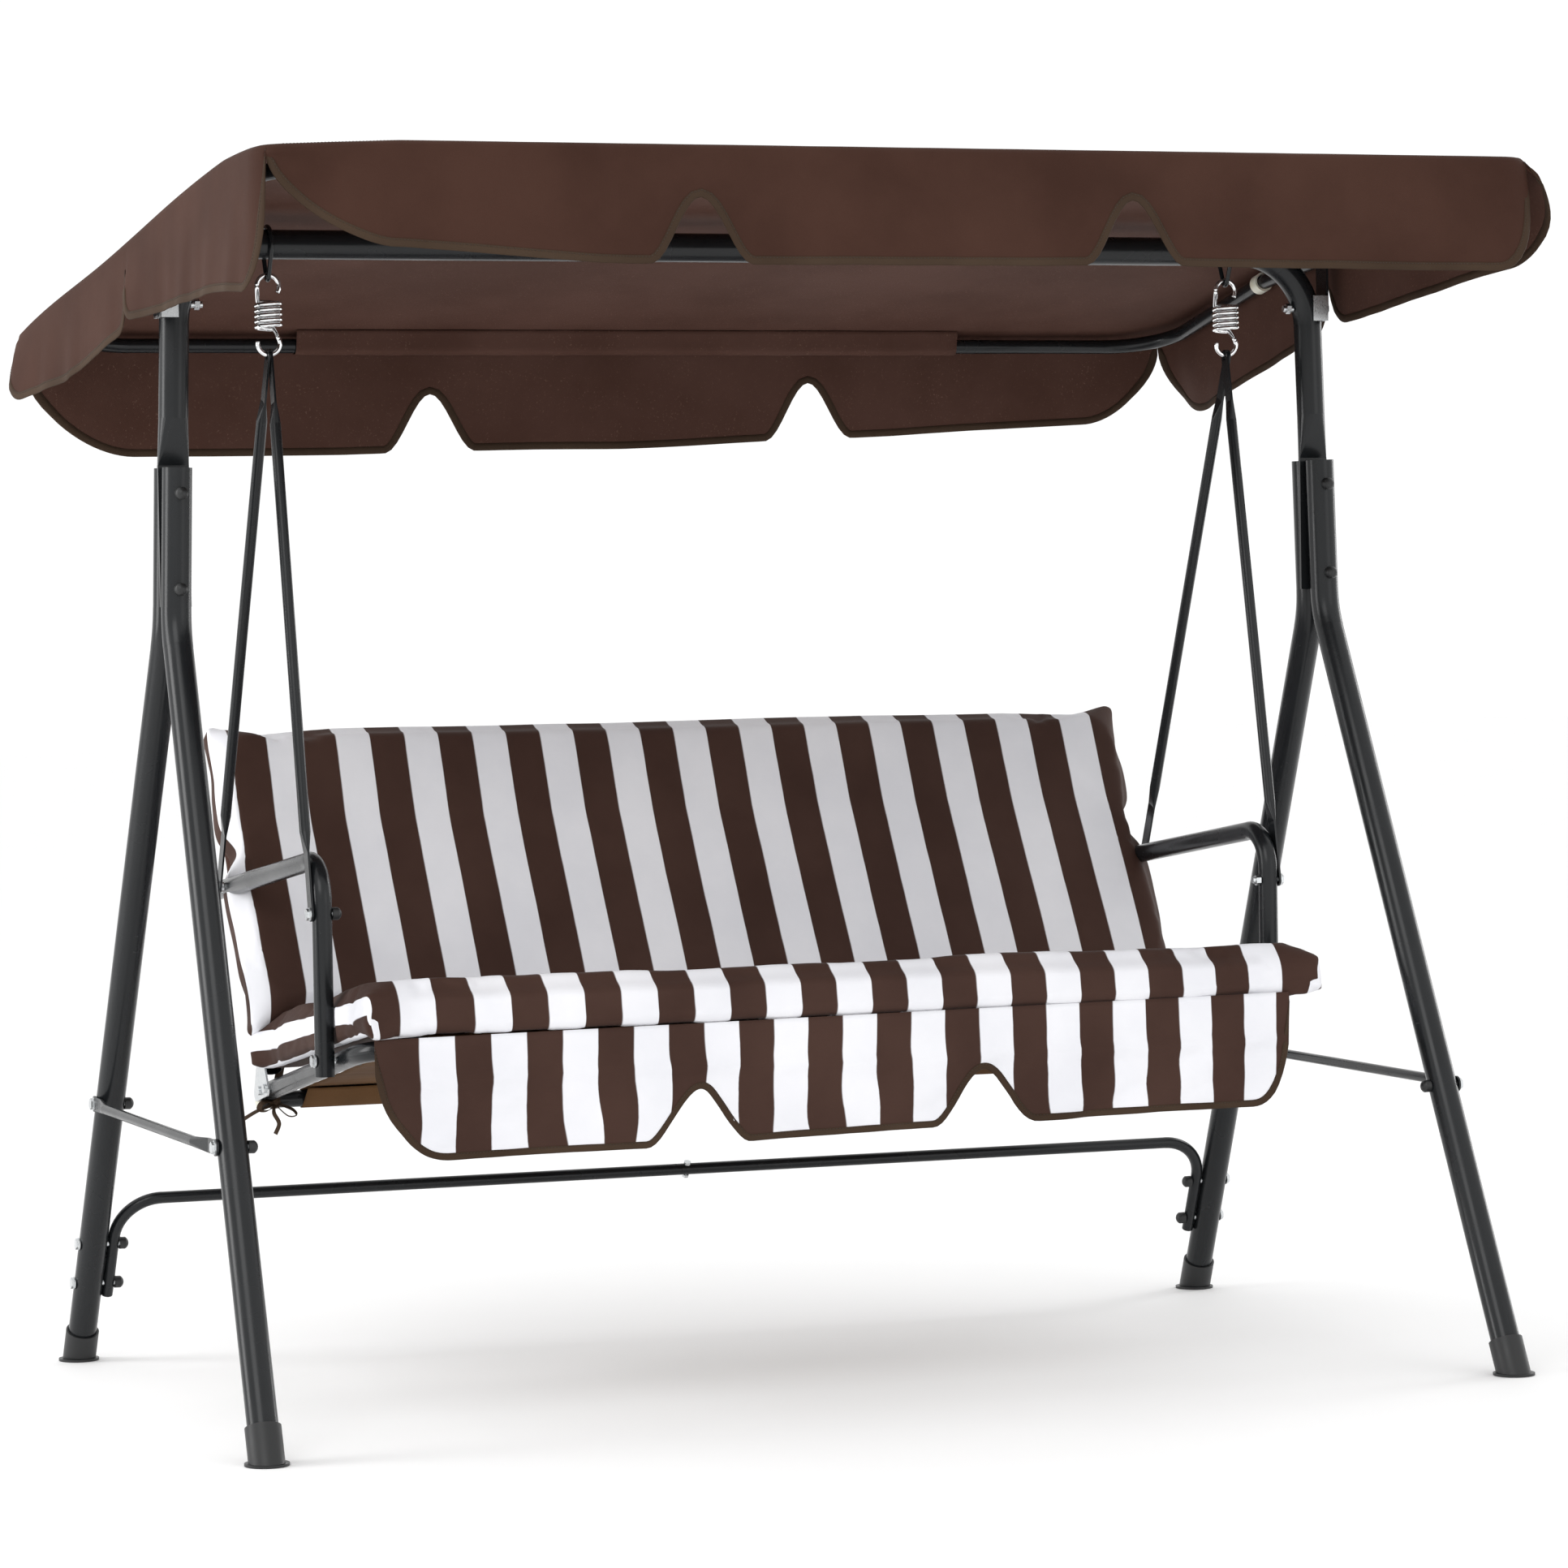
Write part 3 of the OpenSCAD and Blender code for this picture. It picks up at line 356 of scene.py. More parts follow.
def frames(path, up):
    """Two directions across the path at each of its points, turned as little as possible."""
    across = Vector(up)
    out = []
    for i in range(len(path)):
        ahead = (path[min(i + 1, len(path) - 1)] - path[max(i - 1, 0)]).normalized()
        across = (across - ahead * across.dot(ahead)).normalized()
        out.append((across, ahead.cross(across)))
    return out


def sweep(path, outline, up):
    """Verts and faces of a closed outline (u, v) swept along a path, with flat ends."""
    verts, faces, n = [], [], len(outline)
    for point, (across, side) in zip(path, frames(path, up)):
        verts += [point + across * u + side * v for u, v in outline]
    for i in range(len(path) - 1):
        for j in range(n):
            a, b = i * n + j, i * n + (j + 1) % n
            faces.append((a, b, b + n, a + n))
    faces.append(tuple(range(n - 1, -1, -1)))
    faces.append(tuple(range((len(path) - 1) * n, len(path) * n)))
    return verts, faces


def ring(radius, sides):
    return [(radius * cos(2 * pi * i / sides), radius * sin(2 * pi * i / sides)) for i in range(sides)]


def ribbon_outline(width, thick):
    """Flat band with rounded edges."""
    w, t = width / 2, thick / 2
    return [(w, -t * 0.5), (w, t * 0.5), (w - t, t), (0, t), (t - w, t), (-w, t * 0.5), (-w, -t * 0.5), (t - w, -t),
            (0, -t), (w - t, -t)]


def merged(parts):
    """One list of verts and faces from several."""
    verts, faces = [], []
    for v, f in parts:
        faces += [tuple(i + len(verts) for i in face) for face in f]
        verts += v
    return verts, faces


def stitches(line, normals, thick=0.7 * MM):
    """Short raised threads along a line of points that lies on cloth."""
    length, gap = 2.6 * MM, 1.6 * MM
    parts = []
    run, want = 0.0, 0.0
    for a, b, n in zip(line, line[1:], normals):
        step = (b - a).length
        while want < run + step and step > 1e-9:
            along = (b - a).normalized()
            mid = a + along * (want - run) + n * thick * 0.35
            side = along.cross(n).normalized()
            l, w, h = along * length / 2, side * thick / 2, n * thick / 2
            verts = [mid - l - n * thick * 0.2, mid + l - n * thick * 0.2,
                     mid - l * 0.6 + w, mid + l * 0.6 + w, mid + l * 0.6 - w, mid - l * 0.6 - w,
                     mid - l * 0.5 + h, mid + l * 0.5 + h]
            faces = [(0, 2, 6), (0, 6, 5), (2, 3, 7, 6), (5, 6, 7, 4), (1, 7, 3), (1, 4, 7), (0, 5, 4, 1, 3, 2)]
            parts.append((verts, faces))
            want += length + gap
        run += step
    return merged(parts)


def seam(line, up, thick=0.7 * MM):
    """Stitches that all face one way."""
    return stitches(line, [up] * len(line), thick=thick)


def sew(name, seams, body, place=Matrix()):
    """One piece of thread from several rows of stitches."""
    verts, faces = merged(seams)
    return carry(new_object(name, [place @ v for v in verts], faces, THREAD), body, "cloth_brown")


def sheet_of(name, points, uvs, material, flip=False):
    """A cloth from rows of points, with its thickness."""
    index = [[i * len(points[0]) + j for j in range(len(points[0]))] for i in range(len(points))]
    faces = grid_faces(index)
    if flip:
        faces = [tuple(reversed(f)) for f in faces]
    cloth = new_object(name, sum(points, []), faces, material, uvs=sum(uvs, []))
    thicken(cloth)
    return cloth


# ------------ frame


def finish_frame():
    """Materials of the CAD pieces that stay as they are."""
    slots = {part["node"]: part["material_slot"] for part in frame["record"]["subparts"]}
    looks = {"frame_black": BLACK, "cap_black": CAPS, "zinc": ZINC, "chrome": CHROME, "cream_plastic": CREAM,
             "cloth_brown": BROWN, "cloth_striped": STRIPED}
    for name, obj in NODES.items():
        obj.data.materials.clear()
        obj.data.materials.append(looks[slots[name]])


def spring(side):
    """Round wire wound in five open turns, with a hook at each end."""
    x0 = side * gear_x
    wire, coil = 2.9 * MM, 15.5 * MM
    turns, pitch = 5.5, 6.7 * MM
    top_hook = Vector((x0, 0, hook_top_z))
    low_hook = Vector((x0, 0, hook_low_z))
    coil_top = (hook_top_z + hook_low_z) / 2 + turns * pitch / 2
    points = []
    for i in range(24):
        a = radians(-32 + i * 9.6)
        points.append(top_hook + HOOK_RADIUS * Vector((cos(a), 0, sin(a))))
    steps = 22
    for i in range(3, int(turns * steps) - 2):
        a = pi + 2 * pi * i / steps
        points.append(Vector((x0 + coil * cos(a), -coil * sin(a), coil_top - pitch * i / steps)))
    for i in range(24):
        a = radians(32 - i * 9.6)
        points.append(low_hook + HOOK_RADIUS * Vector((cos(a), 0, sin(a))))
    path = spline(points, 1.6 * MM)
    verts, faces = sweep(path, ring(wire, 14), up=(0, 1, 0))
    hand = "right" if side > 0 else "left"
    obj = new_object("spring_coil_" + hand, verts, faces, CHROME)
    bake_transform(obj, "loops", "springs", start=(x0, 0, coil_top), end=(x0, 0, coil_top - turns * pitch))
    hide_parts("spring_" + hand)


# ------------ sheets with hanging sides


def bell(distance, width):
    """1 at the middle of a notch, 0 from its width outwards, with a round top and flared foot."""
    return 0.5 + 0.5 * cos(pi * min(abs(distance) / width, 1.0))


def arch(distance, width):
    """1 at the middle of a notch with upright sides, whose feet are rounded."""
    return 1 - corner_rise((abs(distance) - 3 * MM) / width, 2.3)


def corner_rise(t, power):
    """Rises from 0 at t 0 to 1 at t 1, steep at first: a corner of a superellipse."""
    t = min(max(t, 0.0), 1.0)
    return (1 - (1 - t) ** power) ** (1 / power)


def wave(s, seed, length):
    return rough(s / length, seed * 7.3, 0.5)


def spaced(half, step, dense=(), fine=2 * MM):
    """Places along an edge from -half to half: step apart, closer at the ends and at the dense places."""
    out, s = [-half], -half
    while s < half:
        near = min(abs(s - d) for d in (-half, half, *dense))
        s += min(step, max(fine, near * 0.35))
        out.append(min(s, half))
    if out[-1] - out[-2] < fine * 0.6:
        out.pop(-2)
    return out


def evenly(half, step):
    return spaced(half, step, fine=step)


class Tray:
    """Cloth over a rectangle with rounded corners; x and y lie across it and z points out of it."""

    def __init__(self, half_x, half_y, height, corner, edge, corner_drop, splay=(0.0, 0.0)):
        self.half_x, self.half_y, self.height = half_x, half_y, height
        self.corner, self.edge, self.corner_drop = corner, edge, corner_drop
        self.arc = edge * pi / 2
        self.splay = splay

    def plan(self, x, y):
        """Rounds the corners, and draws the rear left and the front right ones outwards."""
        dx = max(0.0, 1 - (self.half_x - abs(x)) / self.corner)
        dy = max(0.0, 1 - (self.half_y - abs(y)) / self.corner)
        k = self.corner / 4 * dx * dx * dy * dy
        near_end = (1 - y / self.half_y) / 2 if x > 0 else (1 + y / self.half_y) / 2
        wide = self.splay[x > 0] * (abs(x) / self.half_x) ** 5 * max(near_end, 0.0) ** 1.5
        return x + (wide - k) * copysign(1, x), y - copysign(k, y)

    def top(self, x, y):
        px, py = self.plan(x, y)
        return Vector((px, py, self.height(px, py)))


class Side:
    """The cloth that hangs from one edge of a tray."""

    def __init__(self, tray, name, seed, drop, notches=(), cut=0.0, width=0.066, ends=((0.05, 2.4), (0.05, 2.4)),
                 flare=((0.2, 0.0), (0.2, 0.0)), part=(), ripple=7 * MM, arched=False):
        self.tray, self.name, self.seed, self.drop = tray, name, seed, drop
        self.notches, self.cut, self.width, self.ends, self.flare = notches, cut, width, ends, flare
        self.part, self.ripple, self.arched = part, ripple, arched
        self.out = {"front": Vector((0, -1, 0)), "right": Vector((1, 0, 0)), "rear": Vector((0, 1, 0)),
                    "left": Vector((-1, 0, 0))}[name]
        self.along = UP.cross(self.out)
        self.half = tray.half_x if abs(self.out.y) > 0.5 else tray.half_y

    def full_drop(self, s):
        """Drop between the notches, set at evenly spaced places along the edge."""
        t = (s + self.half) / (2 * self.half) * (len(self.drop) - 1)
        i = min(int(t), len(self.drop) - 2)
        return self.drop[i] + (self.drop[i + 1] - self.drop[i]) * (t - i)

    def length_down(self, s):
        """How far the cloth hangs at s, the distance along the edge from its middle."""
        full = self.full_drop(s) + 2.5 * MM * wave(s, self.seed + 3, 0.21)
        notch = arch if self.arched else bell
        full -= self.cut * max((notch(s - n, self.width) for n in self.notches), default=0)
        share = 1.0
        for distance, (width, power) in ((s + self.half, self.ends[0]), (self.half - s, self.ends[1])):
            share = min(share, corner_rise(distance / width, power))
        low = self.tray.corner_drop
        return low + max(0.0, full - low) * share

    def start(self, s):
        """Where the cloth leaves the tray's edge and which way it faces there."""
        def place(t):
            on_edge = self.along * t
            if abs(self.out.y) > 0.5:
                on_edge.y = self.out.y * self.tray.half_y
            else:
                on_edge.x = self.out.x * self.tray.half_x
            return self.tray.top(on_edge.x, on_edge.y)
        here = place(s)
        ahead, behind = min(s + 0.5 * MM, self.half), max(s - 0.5 * MM, -self.half)
        run = place(ahead) - place(behind)
        out = Vector((run.y, -run.x, 0)).normalized()
        distance = min(s + self.half, self.half - s)
        if distance < 1e-6:
            turn = self.along if s > 0 else -self.along
            out = (self.out + turn).normalized()
        return here, out

    def point(self, s, h):
        r, arc = self.tray.edge, self.tray.arc
        top, out_way = self.start(s)
        if h <= arc:
            turn = h / r
            return top + out_way * r * sin(turn) - UP * r * (1 - cos(turn))
        down = h - arc
        share = down / max(self.drop)
        out = 0.05 * down * min(1, down / (20 * MM))  # a slight lean outwards
        out += self.ripple * (wave(s, self.seed, 0.10) + 0.6 * wave(s, self.seed + 1, 0.045)) * share ** 1.3
        for distance, (reach, amount) in ((s + self.half, self.flare[0]), (self.half - s, self.flare[1])):
            out += amount * max(0.0, 1 - distance / reach) ** 1.6 * share ** 0.5
        for place, reach, amount in self.part:
            out += amount * copysign(exp(-abs(s - place) / reach), s - place) * share ** 1.4
        lift = min(out * out / (2 * down), down * 0.4)
        return top + out_way * (r + out) - UP * (r + down - lift)

    def normal(self, s, h):
        d = 1 * MM
        s0, s1 = max(s - d, -self.half), min(s + d, self.half)
        n = (self.point(s1, h) - self.point(s0, h)).cross(self.point(s, h + d) - self.point(s, max(h - d, 0)))
        n = -n.normalized()
        return n if n.dot(self.start(s)[1]) >= 0 or n.z > 0.7 else -n


class Wrap(Side):
    """A side that goes on round a tube and ends flat in front of it."""

    def point(self, s, h):
        r, arc, flat = self.tray.edge, self.tray.arc, 5 * MM
        top, out_way = self.start(s)
        slack = 1.2 * MM * abs(wave(s, self.seed, 0.06)) * min(1, h / arc)
        r += slack
        if h <= arc:
            return top + out_way * r * sin(h / r) - UP * r * (1 - cos(h / r))
        h -= arc
        if h <= flat:
            return top + out_way * r - UP * (r + h)
        h -= flat
        if h <= arc:
            return top + out_way * r * cos(h / r) - UP * (r + flat + r * sin(h / r))
        return top - out_way * (h - arc) - UP * (2 * r + flat)


def hung_cloth(name, tray, sides, place=Matrix(), steps=8 * MM, rows=12, painted_glow_underside=None):
    """One sheet: the tray's top and its sides, joined at the corners they share."""
    xs, ys = spaced(tray.half_x, steps), spaced(tray.half_y, steps)
    bend_rows = 3
    verts, uvs, index = [], [], []

    def put(point, uv):
        verts.append(point)
        uvs.append(uv)
        return len(verts) - 1

    for y in ys:
        index.append([put(tray.top(x, y), (x, y)) for x in xs])
    faces = grid_faces(index)
    edges = {"front": (index[0], xs), "right": ([row[-1] for row in index], ys),
             "rear": (index[-1][::-1], [-x for x in xs[::-1]]),
             "left": ([row[0] for row in index][::-1], [-y for y in ys[::-1]])}
    shared = {}
    for side in sides:
        top, places = edges[side.name]
        columns = []
        for corner, s in zip(top, places):
            if corner in shared:
                columns.append(shared[corner])
                continue
            bottom = side.length_down(s)
            column = [corner]
            start = min(tray.arc, bottom * 0.5)
            for k in range(1, bend_rows + rows + 1):
                h = start * k / bend_rows if k <= bend_rows else start + (bottom - start) * (k - bend_rows) / rows
                column.append(put(side.point(s, h), (s + 3 * side.seed, h)))
            columns.append(column)
            if abs(abs(s) - side.half) < 1e-6:
                shared[corner] = column
        faces += [tuple(reversed(f)) for f in grid_faces(list(zip(*columns)))]
        side.places = places
    cloth = new_object(name, [place @ v for v in verts], faces, BROWN, uvs=uvs)
    thicken(cloth, painted_glow_underside)
    return cloth


def thicken(cloth, painted_glow_underside=None):
    """Gives a sheet its thickness, and, when one is given, its inner side a material of its own: the canopy's
    underside cloth, the same brown painted lighter as a painted glow of light through the cloth.
    """
    solid = cloth.modifiers.new("thickness", "SOLIDIFY")
    solid.thickness = CLOTH_THICK
    solid.offset = 0
    if painted_glow_underside:
        cloth.data.materials.append(painted_glow_underside)
        solid.material_offset = 1


def grid_faces(index):
    """Quads between neighbouring rows of vertex numbers."""
    return [(upper[j], upper[j + 1], lower[j + 1], lower[j])
            for upper, lower in zip(index, index[1:]) for j in range(len(upper) - 1)]


def bind_edges(name, sides, body, width=9 * MM, thick=0.8 * MM):
    """Folded tape sewn over the free edges of hanging sides, with its row of stitches."""
    parts, sewn, uvs = [], [], []
    for side in sides:
        edge = [(s, side.length_down(s)) for s in side.places]
        flat = [Vector((s, h, 0)) for s, h in edge]
        verts, line, normals = [], [], []
        for i, (s, h) in enumerate(edge):
            ahead = flat[min(i + 1, len(flat) - 1)] - flat[max(i - 1, 0)]
            up = Vector((ahead.y, -ahead.x, 0)).normalized()
            up = up if up.y < 0 else -up
            if i in (0, len(edge) - 1):
                up = Vector((0, -1, 0))
            q = flat[i] + up * width
            qs, qh = min(max(q.x, -side.half), side.half), min(max(q.y, 0.5 * MM), side.length_down(q.x) - 1 * MM)
            inner, outer = side.point(qs, qh), side.point(s, h)
            n_in, n_out = side.normal(qs, qh), side.normal(s, h)
            over = outer - inner
            over = over.normalized() if over.length > 1e-6 else -UP
            middle = inner.lerp(outer, 0.5)
            section = [inner + n_in * 0.4 * MM, inner + n_in * thick * 1.2, middle + n_in * thick * 1.5,
                       outer + n_out * thick * 1.2, outer + over * thick * 1.7, outer - n_out * thick * 1.2,
                       middle - n_in * thick * 1.5, inner - n_in * thick * 1.2, inner - n_in * 0.4 * MM]
            verts += section
            uvs += [(s, k * width / 4) for k in range(len(section))]
            line.append(inner.lerp(outer, 0.2) + n_in * thick * 1.3)
            normals.append(n_in)
        n = len(section)
        faces = [(i * n + j, (i + 1) * n + j, (i + 1) * n + j + 1, i * n + j + 1)
                 for i in range(len(edge) - 1) for j in range(n - 1)]
        parts.append((verts, faces))
        sewn.append(stitches(line, normals))
    verts, faces = merged(parts)
    binding = new_object(name + "_binding", verts, faces, BINDING, uvs=uvs)
    return [carry(binding, body, "cloth_brown"), sew(name + "_stitching", sewn, body)]


# ------------ canopy

ROOF_X, ROOF_Y = 0.815, 0.555
FRONT_Z, REAR_Z, RISE = 1.553, 1.378, 0.040


def roof_height(x, y):
    """The stretched roof: an arch from front to back, a little slack between the rails."""
    t = min(max((y + ROOF_Y) / (2 * ROOF_Y), 0.0), 1.0)
    between = sin(pi * t)
    curve = FRONT_Z + (REAR_Z - FRONT_Z) * t + RISE * 4 * t * (1 - t)
    near_side = max(0.0, (abs(x) - 0.70) / (ROOF_X - 0.70))
    fall = 21 * MM * between ** 1.5 * near_side ** 2
    sag = 4 * MM * sin(pi * min(2 * t, 2 - 2 * t)) ** 2 * (1 - (x / ROOF_X) ** 4)
    slack = 3.0 * MM * rough(x * 2.2 + 5.1, y * 3.1, 0.3) * between
    pucker = 1.3 * MM * rough(x * 21, y * 4, 2.3) * (1 - between) ** 3 * sqrt(between + 0.02)
    dip = 7 * MM * max(0.0, 1 - (abs(x + ROOF_X) + abs(y + ROOF_Y)) / 0.16)
    return curve - fall - sag + slack + pucker - dip


def make_canopy():
    tray = Tray(ROOF_X, ROOF_Y, roof_height, 34 * MM, 11 * MM, 20 * MM, splay=(0.046, 0.010))
    sides = [
        Side(tray, "front", 1, (0.120, 0.148, 0.148, 0.148, 0.150), (-0.285, 0.277), 0.080,
             ends=((0.150, 1.55), (0.05, 2.6)), flare=((0.25, -0.012), (0.14, 0.008)), ripple=10 * MM),
        Side(tray, "right", 2, (0.136, 0.134, 0.116, 0.136, 0.148), (0.022,), 0.060,
             ends=((0.09, 2.2), (0.14, 2.0)), flare=((0.16, 0.046), (0.2, 0.016)), width=0.055,
             arched=True),
        Side(tray, "rear", 3, (0.122, 0.142, 0.158, 0.166, 0.166), (-0.276, 0.284), 0.080,
             ends=((0.11, 1.8), (0.13, 1.8)), flare=((0.15, 0.008), (0.2, 0.012)), ripple=5 * MM),
        Side(tray, "left", 4, (0.104, 0.130, 0.116, 0.152, 0.176), (-0.014,), 0.064,
             ends=((0.085, 2.1), (0.05, 2.8)), flare=((0.30, 0.016), (0.2, -0.004)), part=((-0.014, 0.06, 0.017),),
             width=0.045, ripple=12 * MM, arched=True),
    ]
    # the canopy's inner side takes the underside cloth, painted lighter as a painted glow
    cloth = hung_cloth("canopy_cloth", tray, sides, painted_glow_underside=BROWN_UNDERSIDE_PAINTED_GLOW)
    carry(cloth, "canopy", "cloth_brown", "canopy_roof", "valance_front", "valance_rear", "valance_left",
          "valance_right")
    trim = bind_edges("canopy", sides, "canopy")
    trim.append(canopy_seams(tray))
    trim += rail_sleeves()


def canopy_seams(tray):
    """Rows of stitches along the four edges of the roof, two of them at the front and two at the rear."""
    rows = [[(x, y) for x in evenly(0.79, 12 * MM)] for y in (-0.545, -0.533, 0.545, 0.533)]
    rows += [[(x, y) for y in evenly(0.52, 12 * MM)] for x in (-0.805, 0.805)]
    seams = [seam([tray.top(x, y) + UP * 0.5 * MM for x, y in row], UP, 0.9 * MM) for row in rows]
    return sew("canopy_roof_stitching", seams, "canopy")


SLEEVES = (("front", 0.785, -1), ("rear", 0.487, 1))  # which rail, half the pocket's length, way to the outside


def rail_sleeves():
    """Pockets sewn under the roof: the front one holds the whole front rail, the rear one the middle of its bar."""
    made = []
    for name, half, way in SLEEVES:
        _, y0, z0 = middle("canopy_%s_bar" % name)
        r, back = 12.2 * MM, 17 * MM
        lift = roof_height(0, y0 - way * back) - z0 - 1.5 * MM
        turns = [radians(205 + i * 14.4 if way > 0 else -25 - i * 14.4) for i in range(9)]
        profile = [(-way * back, lift), (-way * 14 * MM, lift * 0.5),
                   *((r * cos(a), r * sin(a)) for a in turns), (way * 15 * MM, 4 * MM)]
        path = spline([Vector((0, u, v)) for u, v in profile], 5 * MM)
        rows, uvs = [], []
        for x in evenly(half, 10 * MM):
            bend = max(0.0, abs(x) - 0.60)
            shift = -way * bend * bend * 1.1 if name == "front" else 0.0
            soft = [0.8 * MM * rough(x * 24, k * 0.4, way * 3.0) for k in range(len(path))]
            rows.append([Vector((x, y0 + q.y + shift, z0 + q.z - d)) for q, d in zip(path, soft)])
            uvs.append([(x, k * 5 * MM) for k in range(len(path))])
        # the pockets take the underside cloth, painted lighter as a painted glow
        pocket = sheet_of("canopy_%s_pocket" % name, rows, uvs, BROWN_UNDERSIDE_PAINTED_GLOW, flip=way > 0)
        made.append(carry(pocket, "canopy", "cloth_brown"))
        line = [row[1] - UP * 0.7 * MM for row in rows]
        made.append(sew("canopy_%s_pocket_stitching" % name, [seam(line, -UP)], "canopy"))
    return made


# ------------ cushions


def points_of(obj):
    co = np.zeros(len(obj.data.vertices) * 3)
    obj.data.vertices.foreach_get("co", co)
    return co.reshape(-1, 3)


def set_points(obj, points):
    obj.data.vertices.foreach_set("co", np.asarray(points, np.float32).ravel())
    obj.data.update()


def apply_modifiers(obj):
    bpy.context.view_layer.update()
    graph = bpy.context.evaluated_depsgraph_get()
    mesh = bpy.data.meshes.new_from_object(obj.evaluated_get(graph))
    obj.modifiers.clear()
    old = obj.data
    obj.data = mesh
    bpy.data.meshes.remove(old)


def swell(obj, pressure):
    """Lets the cloth of a closed pad swell under its filling."""
    cloth = obj.modifiers.new("cloth", "CLOTH")
    s = cloth.settings
    s.quality = 5
    s.mass = 0.25
    s.tension_stiffness = 20
    s.compression_stiffness = 12
    s.shear_stiffness = 8
    s.bending_stiffness = 0.6
    s.use_pressure = True
    s.uniform_pressure_force = pressure
    s.effector_weights.gravity = 0
    cloth.point_cache.frame_start, cloth.point_cache.frame_end = 1, 20
    for f in range(1, 21):
        SCENE.frame_set(f)
    apply_modifiers(obj)
    SCENE.frame_set(1)


def field(x, y, fx, fy, seed):
    """Smooth random heights over a pad."""
    return np.array([rough(a * fx, b * fy, seed) for a, b in zip(x, y)])


def reach_along(points, axis, other, way):
    """How far the pad's side reaches one way along an axis, at places along the other axis."""
    low, high = points[:, other].min(), points[:, other].max()
    places = np.linspace(low + 0.05 * (high - low), high - 0.05 * (high - low), 24)
    half_step = 0.75 * (places[1] - places[0])
    out = [np.max(way * points[np.abs(points[:, other] - p) < half_step, axis]) for p in places]
    return np.interp(points[:, other], places, np.convolve(np.pad(out, 1, mode="edge"), [0.25, 0.5, 0.25], "valid"))


def square_up(points, half_x, length):
    """Draws the sides of a swollen pad, which the swelling has pulled in, back out to where they are sewn."""
    points[:, 1] -= length / 2
    for axis, other, target in ((0, 1, half_x), (1, 0, length / 2)):
        ahead, behind = (reach_along(points, axis, other, way) for way in (1, -1))
        points[:, axis] *= target / np.where(points[:, axis] > 0, ahead, behind)
    points[:, 1] += length / 2
    return points


def soft_pad(name, half_x, length, offset, stretch):
    """Closed pad: x across, y along it from 0 to length, z from 0 up; with its bands laid on before it swells."""
    low = (-half_x + PAD_INSET, PAD_INSET, 3 * MM)
    high = (half_x - PAD_INSET, length - PAD_INSET, PAD_THICK - 7 * MM)
    bm = bmesh.new()
    bmesh.ops.create_cube(bm, size=1)
    for v in bm.verts:
        v.co = Vector([low[i] + (v.co[i] + 0.5) * (high[i] - low[i]) for i in range(3)])
    bmesh.ops.bevel(bm, geom=list(bm.edges), offset=7 * MM, segments=2, profile=0.6, affect="EDGES")
    mesh = bpy.data.meshes.new(name)
    bm.to_mesh(mesh)
    bm.free()
    obj = add_object(name, mesh)
    remesh = obj.modifiers.new("remesh", "REMESH")
    remesh.mode = "VOXEL"
    remesh.voxel_size = 6 * MM
    apply_modifiers(obj)
    start = points_of(obj)
    x, y, z = start.T
    fold = high[0] - np.where(z > 14 * MM, 8 * MM, 60 * MM)
    beyond = np.clip((np.abs(x) - fold) / (6 * MM), 0, 1)
    scale = half_x / high[0]
    depth = np.clip(high[2] - z - 10 * MM * (x > 0), 0, None)
    stripe = (x * scale + half_x) * stretch + offset + np.sign(x) * depth * 1.9 * beyond
    set_stripe(obj, stripe)
    swell(obj, 4.0)
    moved = points_of(obj) - start
    reach = np.linalg.norm(moved, axis=1, keepdims=True)
    moved *= np.minimum(1, 22 * MM / np.maximum(reach, 1e-9))
    set_points(obj, start + moved)
    points = square_up(points_of(obj), half_x, length)
    set_points(obj, points)
    x = points[:, 0]
    inner = np.clip((half_x - np.abs(x)) / (22 * MM), 0, 1)
    stripe = inner * ((x + half_x) * stretch + offset) + (1 - inner) * stripe
    set_stripe(obj, stripe)
    return obj


def flat_below(obj):
    """A pad's x, y and z, laid flat underneath, and how high each point is in the pad."""
    x, y, z = points_of(obj).T
    z = np.maximum(z, 0) + 0.05 * np.minimum(z, 0)
    return x, y, z, np.clip(z / (60 * MM), 0, 1.2)


def set_stripe(obj, values):
    """Distance across the bands at each point, for the striped material."""
    layers = obj.data.attributes
    layer = layers.get("stripe") or layers.new("stripe", "FLOAT", "POINT")
    layer.data.foreach_set("value", np.asarray(values, np.float32))


def round_and_finish(obj, x, y, z):
    set_points(obj, np.stack([x, y, z], axis=1))
    sub = obj.modifiers.new("smooth", "SUBSURF")
    sub.levels = sub.render_levels = 1
    apply_modifiers(obj)
    obj.data.polygons.foreach_set("use_smooth", [True] * len(obj.data.polygons))
    obj.data.materials.clear()
    obj.data.materials.append(STRIPED)


def whiteness(x, offset):
    """1 on white bands and 0 on brown ones, with soft steps."""
    phase = np.mod((x + offset) / STRIPE, 1.0)
    return np.clip(np.sin((phase - 0.5) * 2 * np.pi) * 6, 0, 1)


